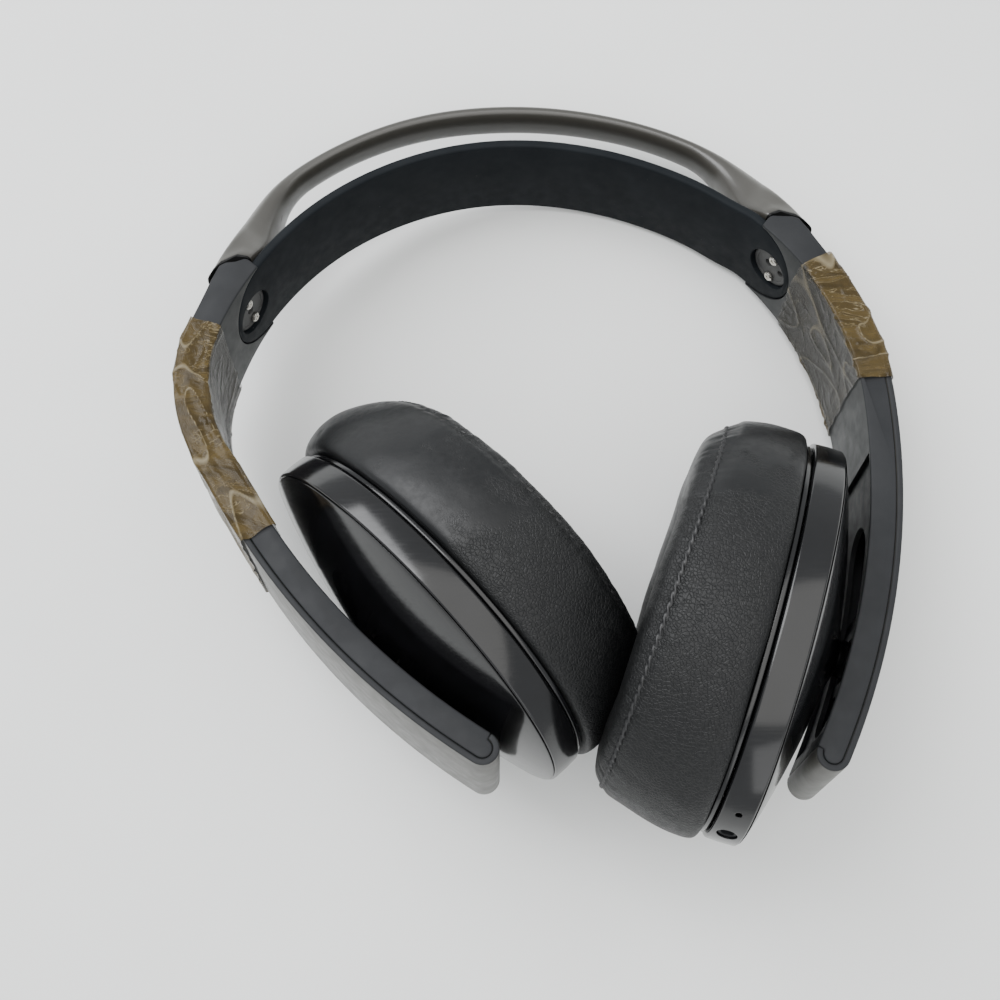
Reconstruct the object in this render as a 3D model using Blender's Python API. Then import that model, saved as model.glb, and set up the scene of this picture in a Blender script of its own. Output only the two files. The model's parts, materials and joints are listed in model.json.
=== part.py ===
"""A wireless over-ear gaming headset lying on its side, with the left arm bent inward at a taped break.

The plan is the plane that a wearer sees from the front: X across the head, Y up to the crown. Z is the
width of the band, from the back of the head to the front. The headset rests on its rear edges, so the
plan lies flat and is pitched a little, with the crown lower than the cups.
"""

import math

import bmesh
import bpy
from mathutils import Matrix, Vector

MM = 0.001
DEG = math.pi / 180
OBJECT_NAME = "gaming_headset"
GAP = 0.3 * MM  # between pieces that touch
CUT_PAST = 1.0 * MM  # how far a cutter reaches past the face that it opens
CUT_PAST_ANGLE = 1.0 * DEG
ARC_STEP = 3.0 * DEG  # between the points of an arm's outline
PIECE_BEVEL = 0.3 * MM

# Inner strap, the arc that rests on the head
STRAP_RADIUS = 91.7 * MM
STRAP_THICK = 3.0 * MM
STRAP_WIDTH = 31.0 * MM
STRAP_END = 26.8 * DEG  # above the line across the head
STRAP_END_FLAT = 2.0 * MM
# How far it sags inward round the crown: pairs of degrees, from the right, and millimetres
STRAP_SAG = [
    (0, 0), (38, 0), (44, 1.4), (50, 1.9), (60, 2.6), (70, 2.75), (80, 2.4), (90, 1.8), (100, 1.25),
    (112, 0.7), (124, 0.2), (134, 0), (180, 0),
]

# Outer band: radial height and width over the crown, from the crown to its seam with the arms
SEAM_ANGLE = 36.0 * DEG
BAND_THICK = 5.0 * MM
BAND_WIDTH = 11.0 * MM
BAND_CLEAR = 13.2 * MM  # open gap between strap and band at the crown
# How far the strained band bows outward over the broken side: degrees from the right, and millimetres
BAND_BOW = [
    (0, 0), (60, 0), (72, 0.15), (80, 0.6), (90, 1.4), (100, 2.3), (108, 2.6), (122, 2.5), (128, 2.0),
    (136, 0.6), (144, 0), (180, 0),
]
BAND_OUTER_FALL = [(0, 0), (0.66, 0), (0.77, 0.13), (0.87, 0.46), (0.95, 0.82), (1, 1)]
BAND_INNER_FALL = [(0, 0), (0.6, 0), (0.71, 0.2), (0.8, 0.6), (0.88, 0.92), (1, 1)]
BAND_FLARE = [(0, 0), (0.64, 0), (0.75, 0.12), (0.86, 0.46), (0.94, 0.82), (1, 1)]
CHANNEL_THICK = 1.8 * MM
CHANNEL_WIDTH = 7.6 * MM
SPRING_THICK = 0.8 * MM
SPRING_WIDTH = 4.6 * MM
CABLE_RADIUS = 0.5 * MM
CHANNEL_DEPTH = 6.5 * MM  # of the channel's middle in the arm, from the arm's inner face
CHANNEL_REACH = 8.0 * DEG  # how far the channel runs on into the arm
SPRING_REACH = 6.0 * DEG
CABLE_DEPTH = 1.2 * MM  # behind the arm's inner wall
CABLE_END_CLEAR = 2.0 * MM  # from the cup's slide
GROOVE_CLEAR = 0.45 * MM

# Arms: an upper arc around the crown's centre and a flatter lower arc
ARM_THICK = 8.6 * MM
ARM_WIDTH = 39.0 * MM
ARM_TOP_WIDTH = 33.0 * MM
ARM_FLARE_ANGLE = 5.0 * DEG  # the arm keeps its full width below this
ARM_TURN_ANGLE = -3.4 * DEG
ARM_LOWER_RADIUS = 198.4 * MM
ARM_END_ANGLE = -32.3 * DEG
COVER_THICK = 1.6 * MM
COVER_TOP_ANGLE = 21.0 * DEG
SHOULDER_ANGLE = 24.0 * DEG  # above this the arm swells to meet the band
SHOULDER_SWELL = 2.7 * MM
ARM_INNER_WALL = 2.6 * MM
ARM_SIDE_WALL = 2.2 * MM
CAVITY_TOP_ANGLE = 13.0 * DEG
CAVITY_END_ANGLE = -30.5 * DEG
SCOOP_DEPTH = 1.2 * MM
SCOOP_TOP_ANGLE = -8.3 * DEG
SCOOP_BOTTOM_ANGLE = -31.0 * DEG
SCOOP_MARGIN = 1.2 * MM

# The broken left arm leans inward over a stretch that the tape hides
BREAK_LEAN = {"left": 20.0 * DEG, "right": 0.0}
BREAK_TOP_ANGLE = 26.0 * DEG
BREAK_BOTTOM_ANGLE = -6.0 * DEG
BREAK_HINGE = (71.3 * MM, 24.5 * MM)
TAPE_THICK = 0.4 * MM
TAPE_TOP_ANGLE = {"left": 22.5 * DEG, "right": 25.5 * DEG}
TAPE_BOTTOM_ANGLE = {"left": -9.0 * DEG, "right": 0.5 * DEG}

# Strap anchors and their screws
ANCHOR_ANGLE = 32.5 * DEG
ANCHOR_RADIUS = 6.75 * MM
ANCHOR_THICK = 1.7 * MM
ANCHOR_LOW = 0.15 * MM  # lifts the flat disc off the curved seat
SCREW_OFFSET = 3.7 * MM
SCREW_HEAD_RADIUS = 1.6 * MM
SCREW_CROWN_RADIUS = 1.0 * MM
SCREW_HEAD_THICK = 0.8 * MM
SCREW_SHANK_RADIUS = 0.8 * MM
SCREW_LENGTH = 3.6 * MM

# Cup pivot
PIVOT_ANGLE = {"left": -20.6 * DEG, "right": -23.5 * DEG}  # where each cup's slide is set
PIVOT_DEPTH = 3.9 * MM  # below the arm's inner face
SLIDE_TOP_ANGLE = -17.3 * DEG
WINDOW_ANGLE = -21.3 * DEG
WINDOW_LENGTH = 61.0 * MM
WINDOW_WIDTH = 19.6 * MM
WINDOW_CUT = 15.0 * MM  # how far its cutter reaches towards the ear
GIMBAL_HALF_WIDTH = 8.6 * MM
GIMBAL_HALF_THICK = 1.5 * MM
GIMBAL_CLEAR = 0.78 * MM  # around the cup's neck
GIMBAL_WALL = 3.0 * MM
PIN_RADIUS = 0.9 * MM
SWIVEL_PIN_LENGTH = 9.5 * MM
BRACKET_HALF = (14.5 * MM, 16.5 * MM)
BRACKET_BACK = 0.8 * MM  # from the arm's cover to the middle of its back
BRACKET_HIGH = 0.95 * MM
BRACKET_CLEAR = 0.7 * MM  # around the gimbal
CUP_SWIVEL = {"left": -2.6 * DEG, "right": -0.6 * DEG}
CUP_TILT = {"left": 3.0 * DEG, "right": 1.5 * DEG}

# Cups: ovals with their long axis along the arm
CUP_LONG = 56.2 * MM
CUP_SHORT = 42.0 * MM
CUP_CLEAR = 13.5 * MM  # from the arm's inner face to the back of the rim
RIM_HEIGHT = 8.6 * MM
RIM_WALL = 2.3 * MM
RIM_BEVEL = 0.4 * MM
LEDGE_WIDTH = 2.6 * MM
LEDGE_LOW = 3.6 * MM
LEDGE_THICK = 1.8 * MM
BACK_DEPTH = 11.6 * MM
BACK_WALL = 2.0 * MM
NECK_RADIUS = 3.9 * MM
NECK_FLARE = 7.5 * MM  # radius where the neck meets the back
NECK_RISE = 1.6 * MM
SPIGOT_RISE = 1.6 * MM  # of the back's lip inside the rim
BAFFLE_THICK = 1.8 * MM
DRIVER_RADIUS = 19.7 * MM
DRIVER_FLANGE = 1.8 * MM
DRIVER_FLANGE_THICK = 1.0 * MM
DRIVER_VENT_RADIUS = 1.5 * MM
SURROUND_RADIUS = 16.7 * MM
DOME_RADIUS = 10.8 * MM
DOME_DIP = 0.5 * MM
MAGNET_RADIUS = 11.0 * MM
MAGNET_THICK = 3.5 * MM
DRIVER_DEPTH = 11.8 * MM  # behind the front of the baffle
EAR_RADIUS = 21.0 * MM  # the cushion's opening, in its short direction
CUSHION_REACH = 39.0 * MM  # from the rim's back to the cushion's crest
CUSHION_ROLL = 4.2 * MM  # of the crest over the seam
CUSHION_BULGE = 2.3 * MM
CUSHION_TAPER = 5.5 * MM  # how much nearer the ends lie at the cushion's front
RING_THICK = 1.6 * MM
RING_SHELF = 1.5 * MM  # behind the cushion's opening
RING_INSET = 0.8 * MM  # from the rim's outline
CUSHION_FOOT = 0.5 * MM  # from the rim's outline
CUSHION_ROUND = 0.8 * MM
CUSHION_ROUND_RUN = 4.0 * MM
CUSHION_SEAM_INSET = 2.5 * MM
CLOTH_THICK = 0.5 * MM

# Electronics
BOARD_THICK = 1.2 * MM
BOARD_CLEAR = 2.7 * MM  # around the board, from the back's lip
BOARD_RISE = 1.0 * MM
BOARD_HOLE_CLEAR = 1.0 * MM  # around the driver
BATTERY_LENGTH = 20.0 * MM
BATTERY_SHARE = 0.62  # its width in the cup's half width
BATTERY_THICK = 4.0 * MM
BATTERY_PLACE = 35.0 * MM
BATTERY_RISE = 0.6 * MM  # above the rim's back
BATTERY_BEVEL = 0.6 * MM
MIC_RADIUS = 1.5 * MM
MIC_THICK = 1.5 * MM
MIC_HOLE_RADIUS = 0.9 * MM
MIC_RISE = 3.9 * MM  # from the rim's back
JACK_RADIUS = 2.6 * MM
JACK_BORE = 1.8 * MM
JACK_LENGTH = 9.0 * MM
JACK_SUNK = 0.6 * MM
USB_SIZE = (8.6 * MM, 3.2 * MM, 5.4 * MM)
USB_WALL = 0.5 * MM
USB_BEVEL = 0.4 * MM
USB_RISE = 3.75 * MM  # from the rim's back
LED_RADIUS = 0.9 * MM

# Controls on the rear rim of the cup on the right: place round the rim, size along it
CONTROL_PROUD = 0.7 * MM
CONTROL_DEPTH = 2.2 * MM
CONTROL_WIDTH = 4.0 * MM
CONTROLS = {
    "power_slider": (38 * DEG, 5.0 * MM),
    "surround_button": (60 * DEG, 5.0 * MM),
    "volume_rocker": (84 * DEG, 11.0 * MM),
    "chat_rocker": (110 * DEG, 11.0 * MM),
    "mute_button": (132 * DEG, 5.0 * MM),
}
SLIDER_TRAVEL = 2.5 * MM
USB_PLACE = 152 * DEG
LED_PLACE = 22 * DEG
JACK_PLACE = -172 * DEG
MIC_PLACES = {"upper": -14 * DEG, "lower": -158 * DEG}

# Pose on the table
YAW = 5.5 * DEG
SIDES = ("left", "right")

LOWER_CENTRE = STRAP_RADIUS - ARM_LOWER_RADIUS  # along the turn angle, from the crown's centre
RIM_BACK = PIVOT_DEPTH + CUP_CLEAR
BAFFLE_LOW = LEDGE_LOW + LEDGE_THICK + GAP
RING_LOW = RIM_HEIGHT + GAP
CUSHION_LOW = RING_LOW + RING_THICK + GAP
CUSHION_THICK = CUSHION_REACH - CUSHION_LOW
CUSHION_SIDE = CUSHION_THICK - CUSHION_ROLL
CUSHION_HALF = CUP_SHORT + CUSHION_BULGE
GIMBAL_HALF_LENGTH = NECK_RADIUS * CUP_LONG / CUP_SHORT + GIMBAL_CLEAR + GIMBAL_WALL
GIMBAL_HALF = (GIMBAL_HALF_LENGTH, GIMBAL_HALF_WIDTH, GIMBAL_HALF_THICK)
BRACKET_LOW = PIVOT_DEPTH - (ARM_THICK - COVER_THICK) + BRACKET_BACK
BOARD_RADIUS = CUP_SHORT - RIM_WALL - BACK_WALL - BOARD_CLEAR
BATTERY_SIZE = (BATTERY_LENGTH, BATTERY_SHARE * CUP_SHORT, BATTERY_THICK)


# Scene and materials

for old in list(bpy.data.objects):
    bpy.data.objects.remove(old)

parts = bpy.data.collections.new(OBJECT_NAME)
cutters = bpy.data.collections.new("cutters")
bpy.context.scene.collection.children.link(parts)
bpy.context.scene.collection.children.link(cutters)


def material(name, colour, roughness, metallic=0.0):
    made = bpy.data.materials.new(name)
    made.use_nodes = True
    shader = made.node_tree.nodes["Principled BSDF"]
    shader.inputs["Base Color"].default_value = (*colour, 1)
    shader.inputs["Roughness"].default_value = roughness
    shader.inputs["Metallic"].default_value = metallic
    return made


def empty(name, parent=None, matrix=None):
    made = bpy.data.objects.new(name, None)
    made.empty_display_size = 5 * MM
    parts.objects.link(made)
    made.parent = parent
    if matrix is not None:
        made.matrix_local = matrix
    return made


def piece(name, mesh, look, parent, matrix=None):
    """A node of the headset, or a cutter if it has no look."""
    made = bpy.data.objects.new(name, mesh)
    made.parent = parent
    if matrix is not None:
        made.matrix_local = matrix
    if look is None:
        cutters.objects.link(made)
        made.hide_render = True
        made.display_type = "WIRE"
        return made
    parts.objects.link(made)
    mesh.materials.clear()
    mesh.materials.append(look)
    mesh.shade_smooth()
    mesh.set_sharp_from_angle(angle=35 * DEG)
    return made


def cut(target, cutter, operation="DIFFERENCE"):
    step = target.modifiers.new(cutter.name, "BOOLEAN")
    step.operation = operation
    step.object = cutter


# Shapes


def mesh_from(shape, name):
    """A new mesh from a bmesh, with its faces turned outward."""
    bmesh.ops.recalc_face_normals(shape, faces=shape.faces)
    mesh = bpy.data.meshes.new(name)
    shape.to_mesh(mesh)
    shape.free()
    return mesh


def block(name, size, bevel=0.0):
    """A box around its origin, with its edges rounded off by one facet."""
    shape = bmesh.new()
    bmesh.ops.create_cube(shape, size=1)
    bmesh.ops.scale(shape, verts=shape.verts, vec=size)
    if bevel:
        bmesh.ops.bevel(shape, geom=shape.edges[:], offset=bevel, segments=1, affect="EDGES")
    return mesh_from(shape, name)


def rod(name, radius, low, high, sides=16):
    """A cylinder along Z from low to high."""
    shape = bmesh.new()
    bmesh.ops.create_cone(
        shape, cap_ends=True, segments=sides, radius1=radius, radius2=radius, depth=high - low
    )
    bmesh.ops.translate(shape, verts=shape.verts, vec=(0, 0, (low + high) / 2))
    return mesh_from(shape, name)


def turned(name, profile, sides=24, closed=False):
    """A profile of (radius, height) turned around Z. An open profile starts and ends on the axis."""
    shape = bmesh.new()
    verts = [shape.verts.new((radius, 0, height)) for radius, height in profile]
    edges = [shape.edges.new(pair) for pair in zip(verts, verts[1:])]
    if closed:
        edges.append(shape.edges.new((verts[-1], verts[0])))
    bmesh.ops.spin(
        shape, geom=verts + edges, axis=(0, 0, 1), cent=(0, 0, 0), angle=2 * math.pi, steps=sides
    )
    bmesh.ops.remove_doubles(shape, verts=shape.verts, dist=0.001 * MM)
    bmesh.ops.dissolve_degenerate(shape, edges=shape.edges, dist=0.001 * MM)
    return mesh_from(shape, name)


def oval(name, profile, sides=48, closed=True):
    """A turned ring or disc stretched along X into the cup's oval. Its radii are those across the cup."""
    mesh = turned(name, profile, sides, closed)
    for vert in mesh.vertices:
        radius = math.hypot(vert.co.x, vert.co.y)
        if radius > 0:
            share = min(1, radius / CUP_SHORT)
            vert.co.x += (CUP_LONG - CUP_SHORT) * share * vert.co.x / radius
    return mesh


def plate(name, outline, low, high):
    """A flat outline in the plan, filled and raised from low to high."""
    curve = bpy.data.curves.new(name, "CURVE")
    curve.dimensions = "2D"
    curve.fill_mode = "BOTH"
    curve.extrude = (high - low) / 2
    spline = curve.splines.new("POLY")
    spline.points.add(len(outline) - 1)
    for point, (x, y) in zip(spline.points, outline):
        point.co = (x, y, 0, 1)
    spline.use_cyclic_u = True
    guide = bpy.data.objects.new(name, curve)
    cutters.objects.link(guide)
    view = bpy.context.evaluated_depsgraph_get()
    mesh = bpy.data.meshes.new_from_object(guide.evaluated_get(view))
    bpy.data.objects.remove(guide)
    bpy.data.curves.remove(curve)
    shape = bmesh.new()
    shape.from_mesh(mesh)
    bpy.data.meshes.remove(mesh)
    bmesh.ops.remove_doubles(shape, verts=shape.verts, dist=0.001 * MM)
    bmesh.ops.translate(shape, verts=shape.verts, vec=(0, 0, (low + high) / 2))
    return mesh_from(shape, name)


def loft(name, sections):
    """A closed skin over sections with the same number of points each, with a flat face at both ends."""
    shape = bmesh.new()
    rings = [[shape.verts.new(point) for point in section] for section in sections]
    count = len(rings[0])
    for ring, following in zip(rings, rings[1:]):
        for i in range(count):
            after = (i + 1) % count
            shape.faces.new((ring[i], ring[after], following[after], following[i]))
    shape.faces.new(rings[0])
    shape.faces.new(rings[-1])
    return mesh_from(shape, name)


def wire(name, points, radius):
    """A round wire through points."""
    curve = bpy.data.curves.new(name, "CURVE")
    curve.dimensions = "3D"
    curve.bevel_depth = radius
    curve.bevel_resolution = 1
    curve.use_fill_caps = True
    spline = curve.splines.new("POLY")
    spline.points.add(len(points) - 1)
    for point, place in zip(spline.points, points):
        point.co = (*place, 1)
    guide = bpy.data.objects.new(name, curve)
    cutters.objects.link(guide)
    view = bpy.context.evaluated_depsgraph_get()
    mesh = bpy.data.meshes.new_from_object(guide.evaluated_get(view))
    bpy.data.objects.remove(guide)
    bpy.data.curves.remove(curve)
    shape = bmesh.new()
    shape.from_mesh(mesh)
    bpy.data.meshes.remove(mesh)
    bmesh.ops.remove_doubles(shape, verts=shape.verts, dist=0.001 * MM)
    return mesh_from(shape, name)


def steps_between(start, end, count):
    return [start + (end - start) * i / count for i in range(count + 1)]


def eased(table, x):
    """A smooth curve through (x, value) pairs, level at both ends."""
    for (x0, y0), (x1, y1) in zip(table, table[1:]):
        if x <= x1:
            break
    i = table.index((x0, y0))
    before = table[max(i - 1, 0)]
    after = table[min(i + 2, len(table) - 1)]
    span = x1 - x0
    rise0 = span * (y1 - before[1]) / (x1 - before[0]) if i > 0 else 0
    rise1 = span * (after[1] - y0) / (after[0] - x0) if i + 2 < len(table) else 0
    t = (x - x0) / span
    return (
        y0 * (2 * t**3 - 3 * t**2 + 1)
        + rise0 * (t**3 - 2 * t**2 + t)
        + y1 * (3 * t**2 - 2 * t**3)
        + rise1 * (t**3 - t**2)
    )


# The plan


def arm_point(side, angle, depth):
    """The place in the plan at an angle down the arm and a depth from the arm's inner face."""
    if angle >= ARM_TURN_ANGLE:
        centre = Vector((0, 0))
        radius = STRAP_RADIUS + depth
    else:
        centre = LOWER_CENTRE * Vector((math.cos(ARM_TURN_ANGLE), math.sin(ARM_TURN_ANGLE)))
        radius = ARM_LOWER_RADIUS + depth
    place = centre + radius * Vector((math.cos(angle), math.sin(angle)))
    share = (BREAK_TOP_ANGLE - angle) / (BREAK_TOP_ANGLE - BREAK_BOTTOM_ANGLE)
    share = min(1, max(0, share))
    lean = -BREAK_LEAN[side] * share * share * (3 - 2 * share)
    hinge = Vector(BREAK_HINGE)
    place = hinge + Matrix.Rotation(lean, 2) @ (place - hinge)
    if side == "left":
        place.x = -place.x
    return place


def arm_arc(side, depth, start, end, swell=0.0):
    """Points at one depth down the arm."""
    count = max(2, round(abs(end - start) / ARC_STEP))
    points = []
    for angle in steps_between(start, end, count):
        share = max(0, (angle - SHOULDER_ANGLE) / (SEAM_ANGLE - SHOULDER_ANGLE))
        points.append(arm_point(side, angle, depth + swell * share * share))
    return points


def tip_arc(side, radius, start, end, count=6):
    """A half circle around the arm's end, from the outer face (0) round to the inner face (pi)."""
    points = []
    for turn in steps_between(start, end, count):
        depth = ARM_THICK / 2 + radius * math.cos(turn)
        angle = ARM_END_ANGLE - radius * math.sin(turn) / ARM_LOWER_RADIUS
        points.append(arm_point(side, angle, depth))
    return points


def flared(mesh):
    """Narrows an arm-wide plate towards the crown, where the arm meets the band."""
    for vert in mesh.vertices:
        angle = math.atan2(vert.co.y, abs(vert.co.x))
        share = min(1, max(0, (angle - ARM_FLARE_ANGLE) / (SEAM_ANGLE - ARM_FLARE_ANGLE)))
        vert.co.z -= math.copysign((ARM_WIDTH - ARM_TOP_WIDTH) / 2 * share, vert.co.z)
    return mesh


def radial(angle, radius):
    """A frame with Z towards the crown's centre, at an angle and a radius in the plan."""
    inward = Vector((-math.cos(angle), -math.sin(angle), 0))
    along = Vector((0, 0, 1))
    frame = Matrix((along.cross(inward), along, inward)).transposed()
    return Matrix.Translation(-inward * radius) @ frame.to_4x4()


# Looks

sand_black = material("moulded_sand_black", (0.062, 0.064, 0.068), 0.55)
warm_grey = material("satin_warm_grey", (0.145, 0.14, 0.13), 0.42)
smoked = material("smoked_satin_brown", (0.07, 0.066, 0.055), 0.4)
matt_black = material("matt_blue_black", (0.014, 0.016, 0.02), 0.6)
gloss_black = material("gloss_black", (0.01, 0.01, 0.011), 0.12)
dark_plastic = material("dark_plastic", (0.03, 0.03, 0.032), 0.5)
leather = material("black_faux_leather", (0.015, 0.015, 0.017), 0.5)
cloth = material("black_speaker_cloth", (0.012, 0.012, 0.012), 0.9)
steel = material("bright_steel", (0.6, 0.59, 0.57), 0.3, 1.0)
spring_steel = material("blued_spring_steel", (0.2, 0.21, 0.24), 0.35, 1.0)
copper_board = material("green_board", (0.01, 0.06, 0.03), 0.45)
foil = material("battery_foil", (0.45, 0.46, 0.48), 0.4, 0.6)
brown_tape = material("brown_packing_tape", (0.21, 0.14, 0.06), 0.25)
grey_plastic = material("dark_grey_plastic", (0.05, 0.05, 0.055), 0.5)
white_lens = material("frosted_lens", (0.7, 0.7, 0.7), 0.4)


# Headband

pose = empty("headset_pose")


def around(table, angle):
    """A size from a table of degrees round the crown and millimetres."""
    return eased(table, min(180, max(0, angle / DEG))) * MM


def strap_radius(angle):
    return STRAP_RADIUS - around(STRAP_SAG, angle)


def band_section(angle, thick=None, width=None):
    """The outer band's cross-section at an angle round the crown, or a slot of a given size through it."""
    way = abs(angle - math.pi / 2) / (math.pi / 2 - SEAM_ANGLE)
    crown_inner = STRAP_RADIUS + STRAP_THICK + BAND_CLEAR + around(BAND_BOW, angle)
    seam_inner = strap_radius(angle) + STRAP_THICK + GAP
    inner = crown_inner + (seam_inner - crown_inner) * eased(BAND_INNER_FALL, min(1, way))
    crown_outer = crown_inner + BAND_THICK
    seam_outer = STRAP_RADIUS + ARM_THICK + SHOULDER_SWELL
    outer = crown_outer + (seam_outer - crown_outer) * eased(BAND_OUTER_FALL, min(1, way))
    middle = (inner + outer) / 2
    if thick:
        middle += (STRAP_RADIUS + CHANNEL_DEPTH - middle) * eased(BAND_INNER_FALL, min(1, way))
        corners = ((-1, -1), (1, -1), (1, 1), (-1, 1))
        reach = (thick / 2, width / 2)
    else:
        flare = BAND_WIDTH + (ARM_TOP_WIDTH - BAND_WIDTH) * eased(BAND_FLARE, min(1, way))
        reach = ((outer - inner) / 2, flare / 2)
        power = 2 / (2.4 + 3.6 * way**3)
        corners = []
        for turn in steps_between(0, 2 * math.pi, 20)[:-1]:
            across, up = math.cos(turn), math.sin(turn)
            corners.append(
                (math.copysign(abs(across) ** power, across), math.copysign(abs(up) ** power, up))
            )
    points = []
    for across, up in corners:
        radius = middle + across * reach[0]
        points.append((radius * math.cos(angle), radius * math.sin(angle), up * reach[1]))
    return points


def crown_angles(end, count):
    return steps_between(end, math.pi - end, count)


def build_band():
    end = SEAM_ANGLE + GAP / STRAP_RADIUS
    band = piece(
        "outer_band", loft("outer_band", [band_section(a) for a in crown_angles(end, 40)]), smoked, pose
    )
    cut(band, channel_cutter())
    inset = SPRING_WIDTH / 2 - CHANNEL_WIDTH / 2 + GAP
    sections = []
    for angle in crown_angles(SEAM_ANGLE - SPRING_REACH, 30):
        section = band_section(angle, SPRING_THICK, SPRING_WIDTH)
        sections.append([(x, y, z + inset) for x, y, z in section])
    piece("band_spring", loft("band_spring", sections), spring_steel, pose)


def channel_cutter():
    """The slot through the band and into both arms that holds the spring and the link cable."""
    if "band_channel" in bpy.data.objects:
        return bpy.data.objects["band_channel"]
    sections = []
    for angle in crown_angles(SEAM_ANGLE - CHANNEL_REACH, 36):
        sections.append(band_section(angle, CHANNEL_THICK, CHANNEL_WIDTH))
    return piece("band_channel", loft("band_channel", sections), None, pose)


def strap_mesh(name, grow=0.0):
    """The strap with half-round ends, or the hollow that it lies in."""
    end = STRAP_END - grow / STRAP_RADIUS
    half = STRAP_WIDTH / 2 + grow
    tab = [half * (1 - math.cos(turn)) for turn in steps_between(0, math.pi / 2, 8)[1:]]
    start = end + tab[-1] / STRAP_RADIUS
    angles = [end] + [end + reach / STRAP_RADIUS for reach in tab[:-1]]
    angles += steps_between(start, math.pi - start, 36)
    angles += [math.pi - angle for angle in reversed(angles[: len(tab)])]
    sections = []
    for angle in angles:
        reach = min(angle - end, math.pi - end - angle) * STRAP_RADIUS
        wide = half
        if reach < half:
            wide = max(STRAP_END_FLAT / 2, math.sqrt(half * half - (half - reach) ** 2))
        x, y = math.cos(angle), math.sin(angle)
        inner = STRAP_RADIUS - CUT_PAST if grow else strap_radius(angle)
        outer = STRAP_THICK + (STRAP_RADIUS + grow if grow else inner)
        sections.append([
            (inner * x, inner * y, -wide),
            (outer * x, outer * y, -wide),
            (outer * x, outer * y, wide),
            (inner * x, inner * y, wide),
        ])
    return loft(name, sections)


def crown_angle(side, angle):
    return math.pi - angle if side == "left" else angle


def build_strap():
    strap = piece("inner_strap", strap_mesh("inner_strap"), matt_black, pose)
    hollow = piece("strap_hollow", strap_mesh("strap_hollow", GAP), None, pose)
    for side in SIDES:
        back = radial(crown_angle(side, ANCHOR_ANGLE), STRAP_RADIUS + STRAP_THICK)
        hole = rod("strap_hole", ANCHOR_RADIUS + GAP, -CUT_PAST, STRAP_THICK + CUT_PAST, 32)
        cut(strap, piece(f"strap_hole_{side}", hole, None, pose, back))
        disc = rod("strap_anchor", ANCHOR_RADIUS, ANCHOR_LOW, ANCHOR_LOW + ANCHOR_THICK, 32)
        anchor = piece(f"strap_anchor_{side}", disc, grey_plastic, pose, back)
        shell = bpy.data.objects[f"arm_shell_{side}"]
        cut(shell, hollow)
        for number, turn in enumerate((-1, 1), 1):
            aside = Matrix.Translation((turn * SCREW_OFFSET, turn * SCREW_OFFSET, 0))
            build_screw(f"strap_screw_{side}_{number}", back @ aside, (anchor, shell))


def build_screw(name, matrix, holders):
    """A pan-head screw through the anchor into the arm, and the hole it needs."""
    seat = ANCHOR_LOW + ANCHOR_THICK + GAP
    foot = seat + SCREW_HEAD_THICK - SCREW_LENGTH
    head = [
        (0, seat + SCREW_HEAD_THICK),
        (SCREW_CROWN_RADIUS, seat + SCREW_HEAD_THICK),
        (SCREW_HEAD_RADIUS, seat + SCREW_HEAD_THICK / 2),
        (SCREW_HEAD_RADIUS, seat),
        (SCREW_SHANK_RADIUS, seat),
        (SCREW_SHANK_RADIUS, foot),
        (0, foot),
    ]
    piece(name, turned(name, head, 12), steel, pose, matrix)
    hole = rod("hole", SCREW_SHANK_RADIUS + GAP, foot - GAP, seat + SCREW_HEAD_THICK, 12)
    cutter = piece(f"{name}_hole", hole, None, pose, matrix)
    for holder in holders:
        cut(holder, cutter)


# Arms


def arm_frame(side, angle):
    """A frame in the arm at the depth of the cup's pivot: X up the arm, Z towards the ear."""
    place = arm_point(side, angle, PIVOT_DEPTH)
    inward = (arm_point(side, angle, 0) - place).normalized().to_3d()
    up = Vector((inward.y, -inward.x, 0))
    if up.dot((arm_point(side, angle + DEG, PIVOT_DEPTH) - place).to_3d()) < 0:
        up = -up
    frame = Matrix((up, inward.cross(up), inward)).transposed().to_4x4()
    return Matrix.Translation(place.to_3d()) @ frame


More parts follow.
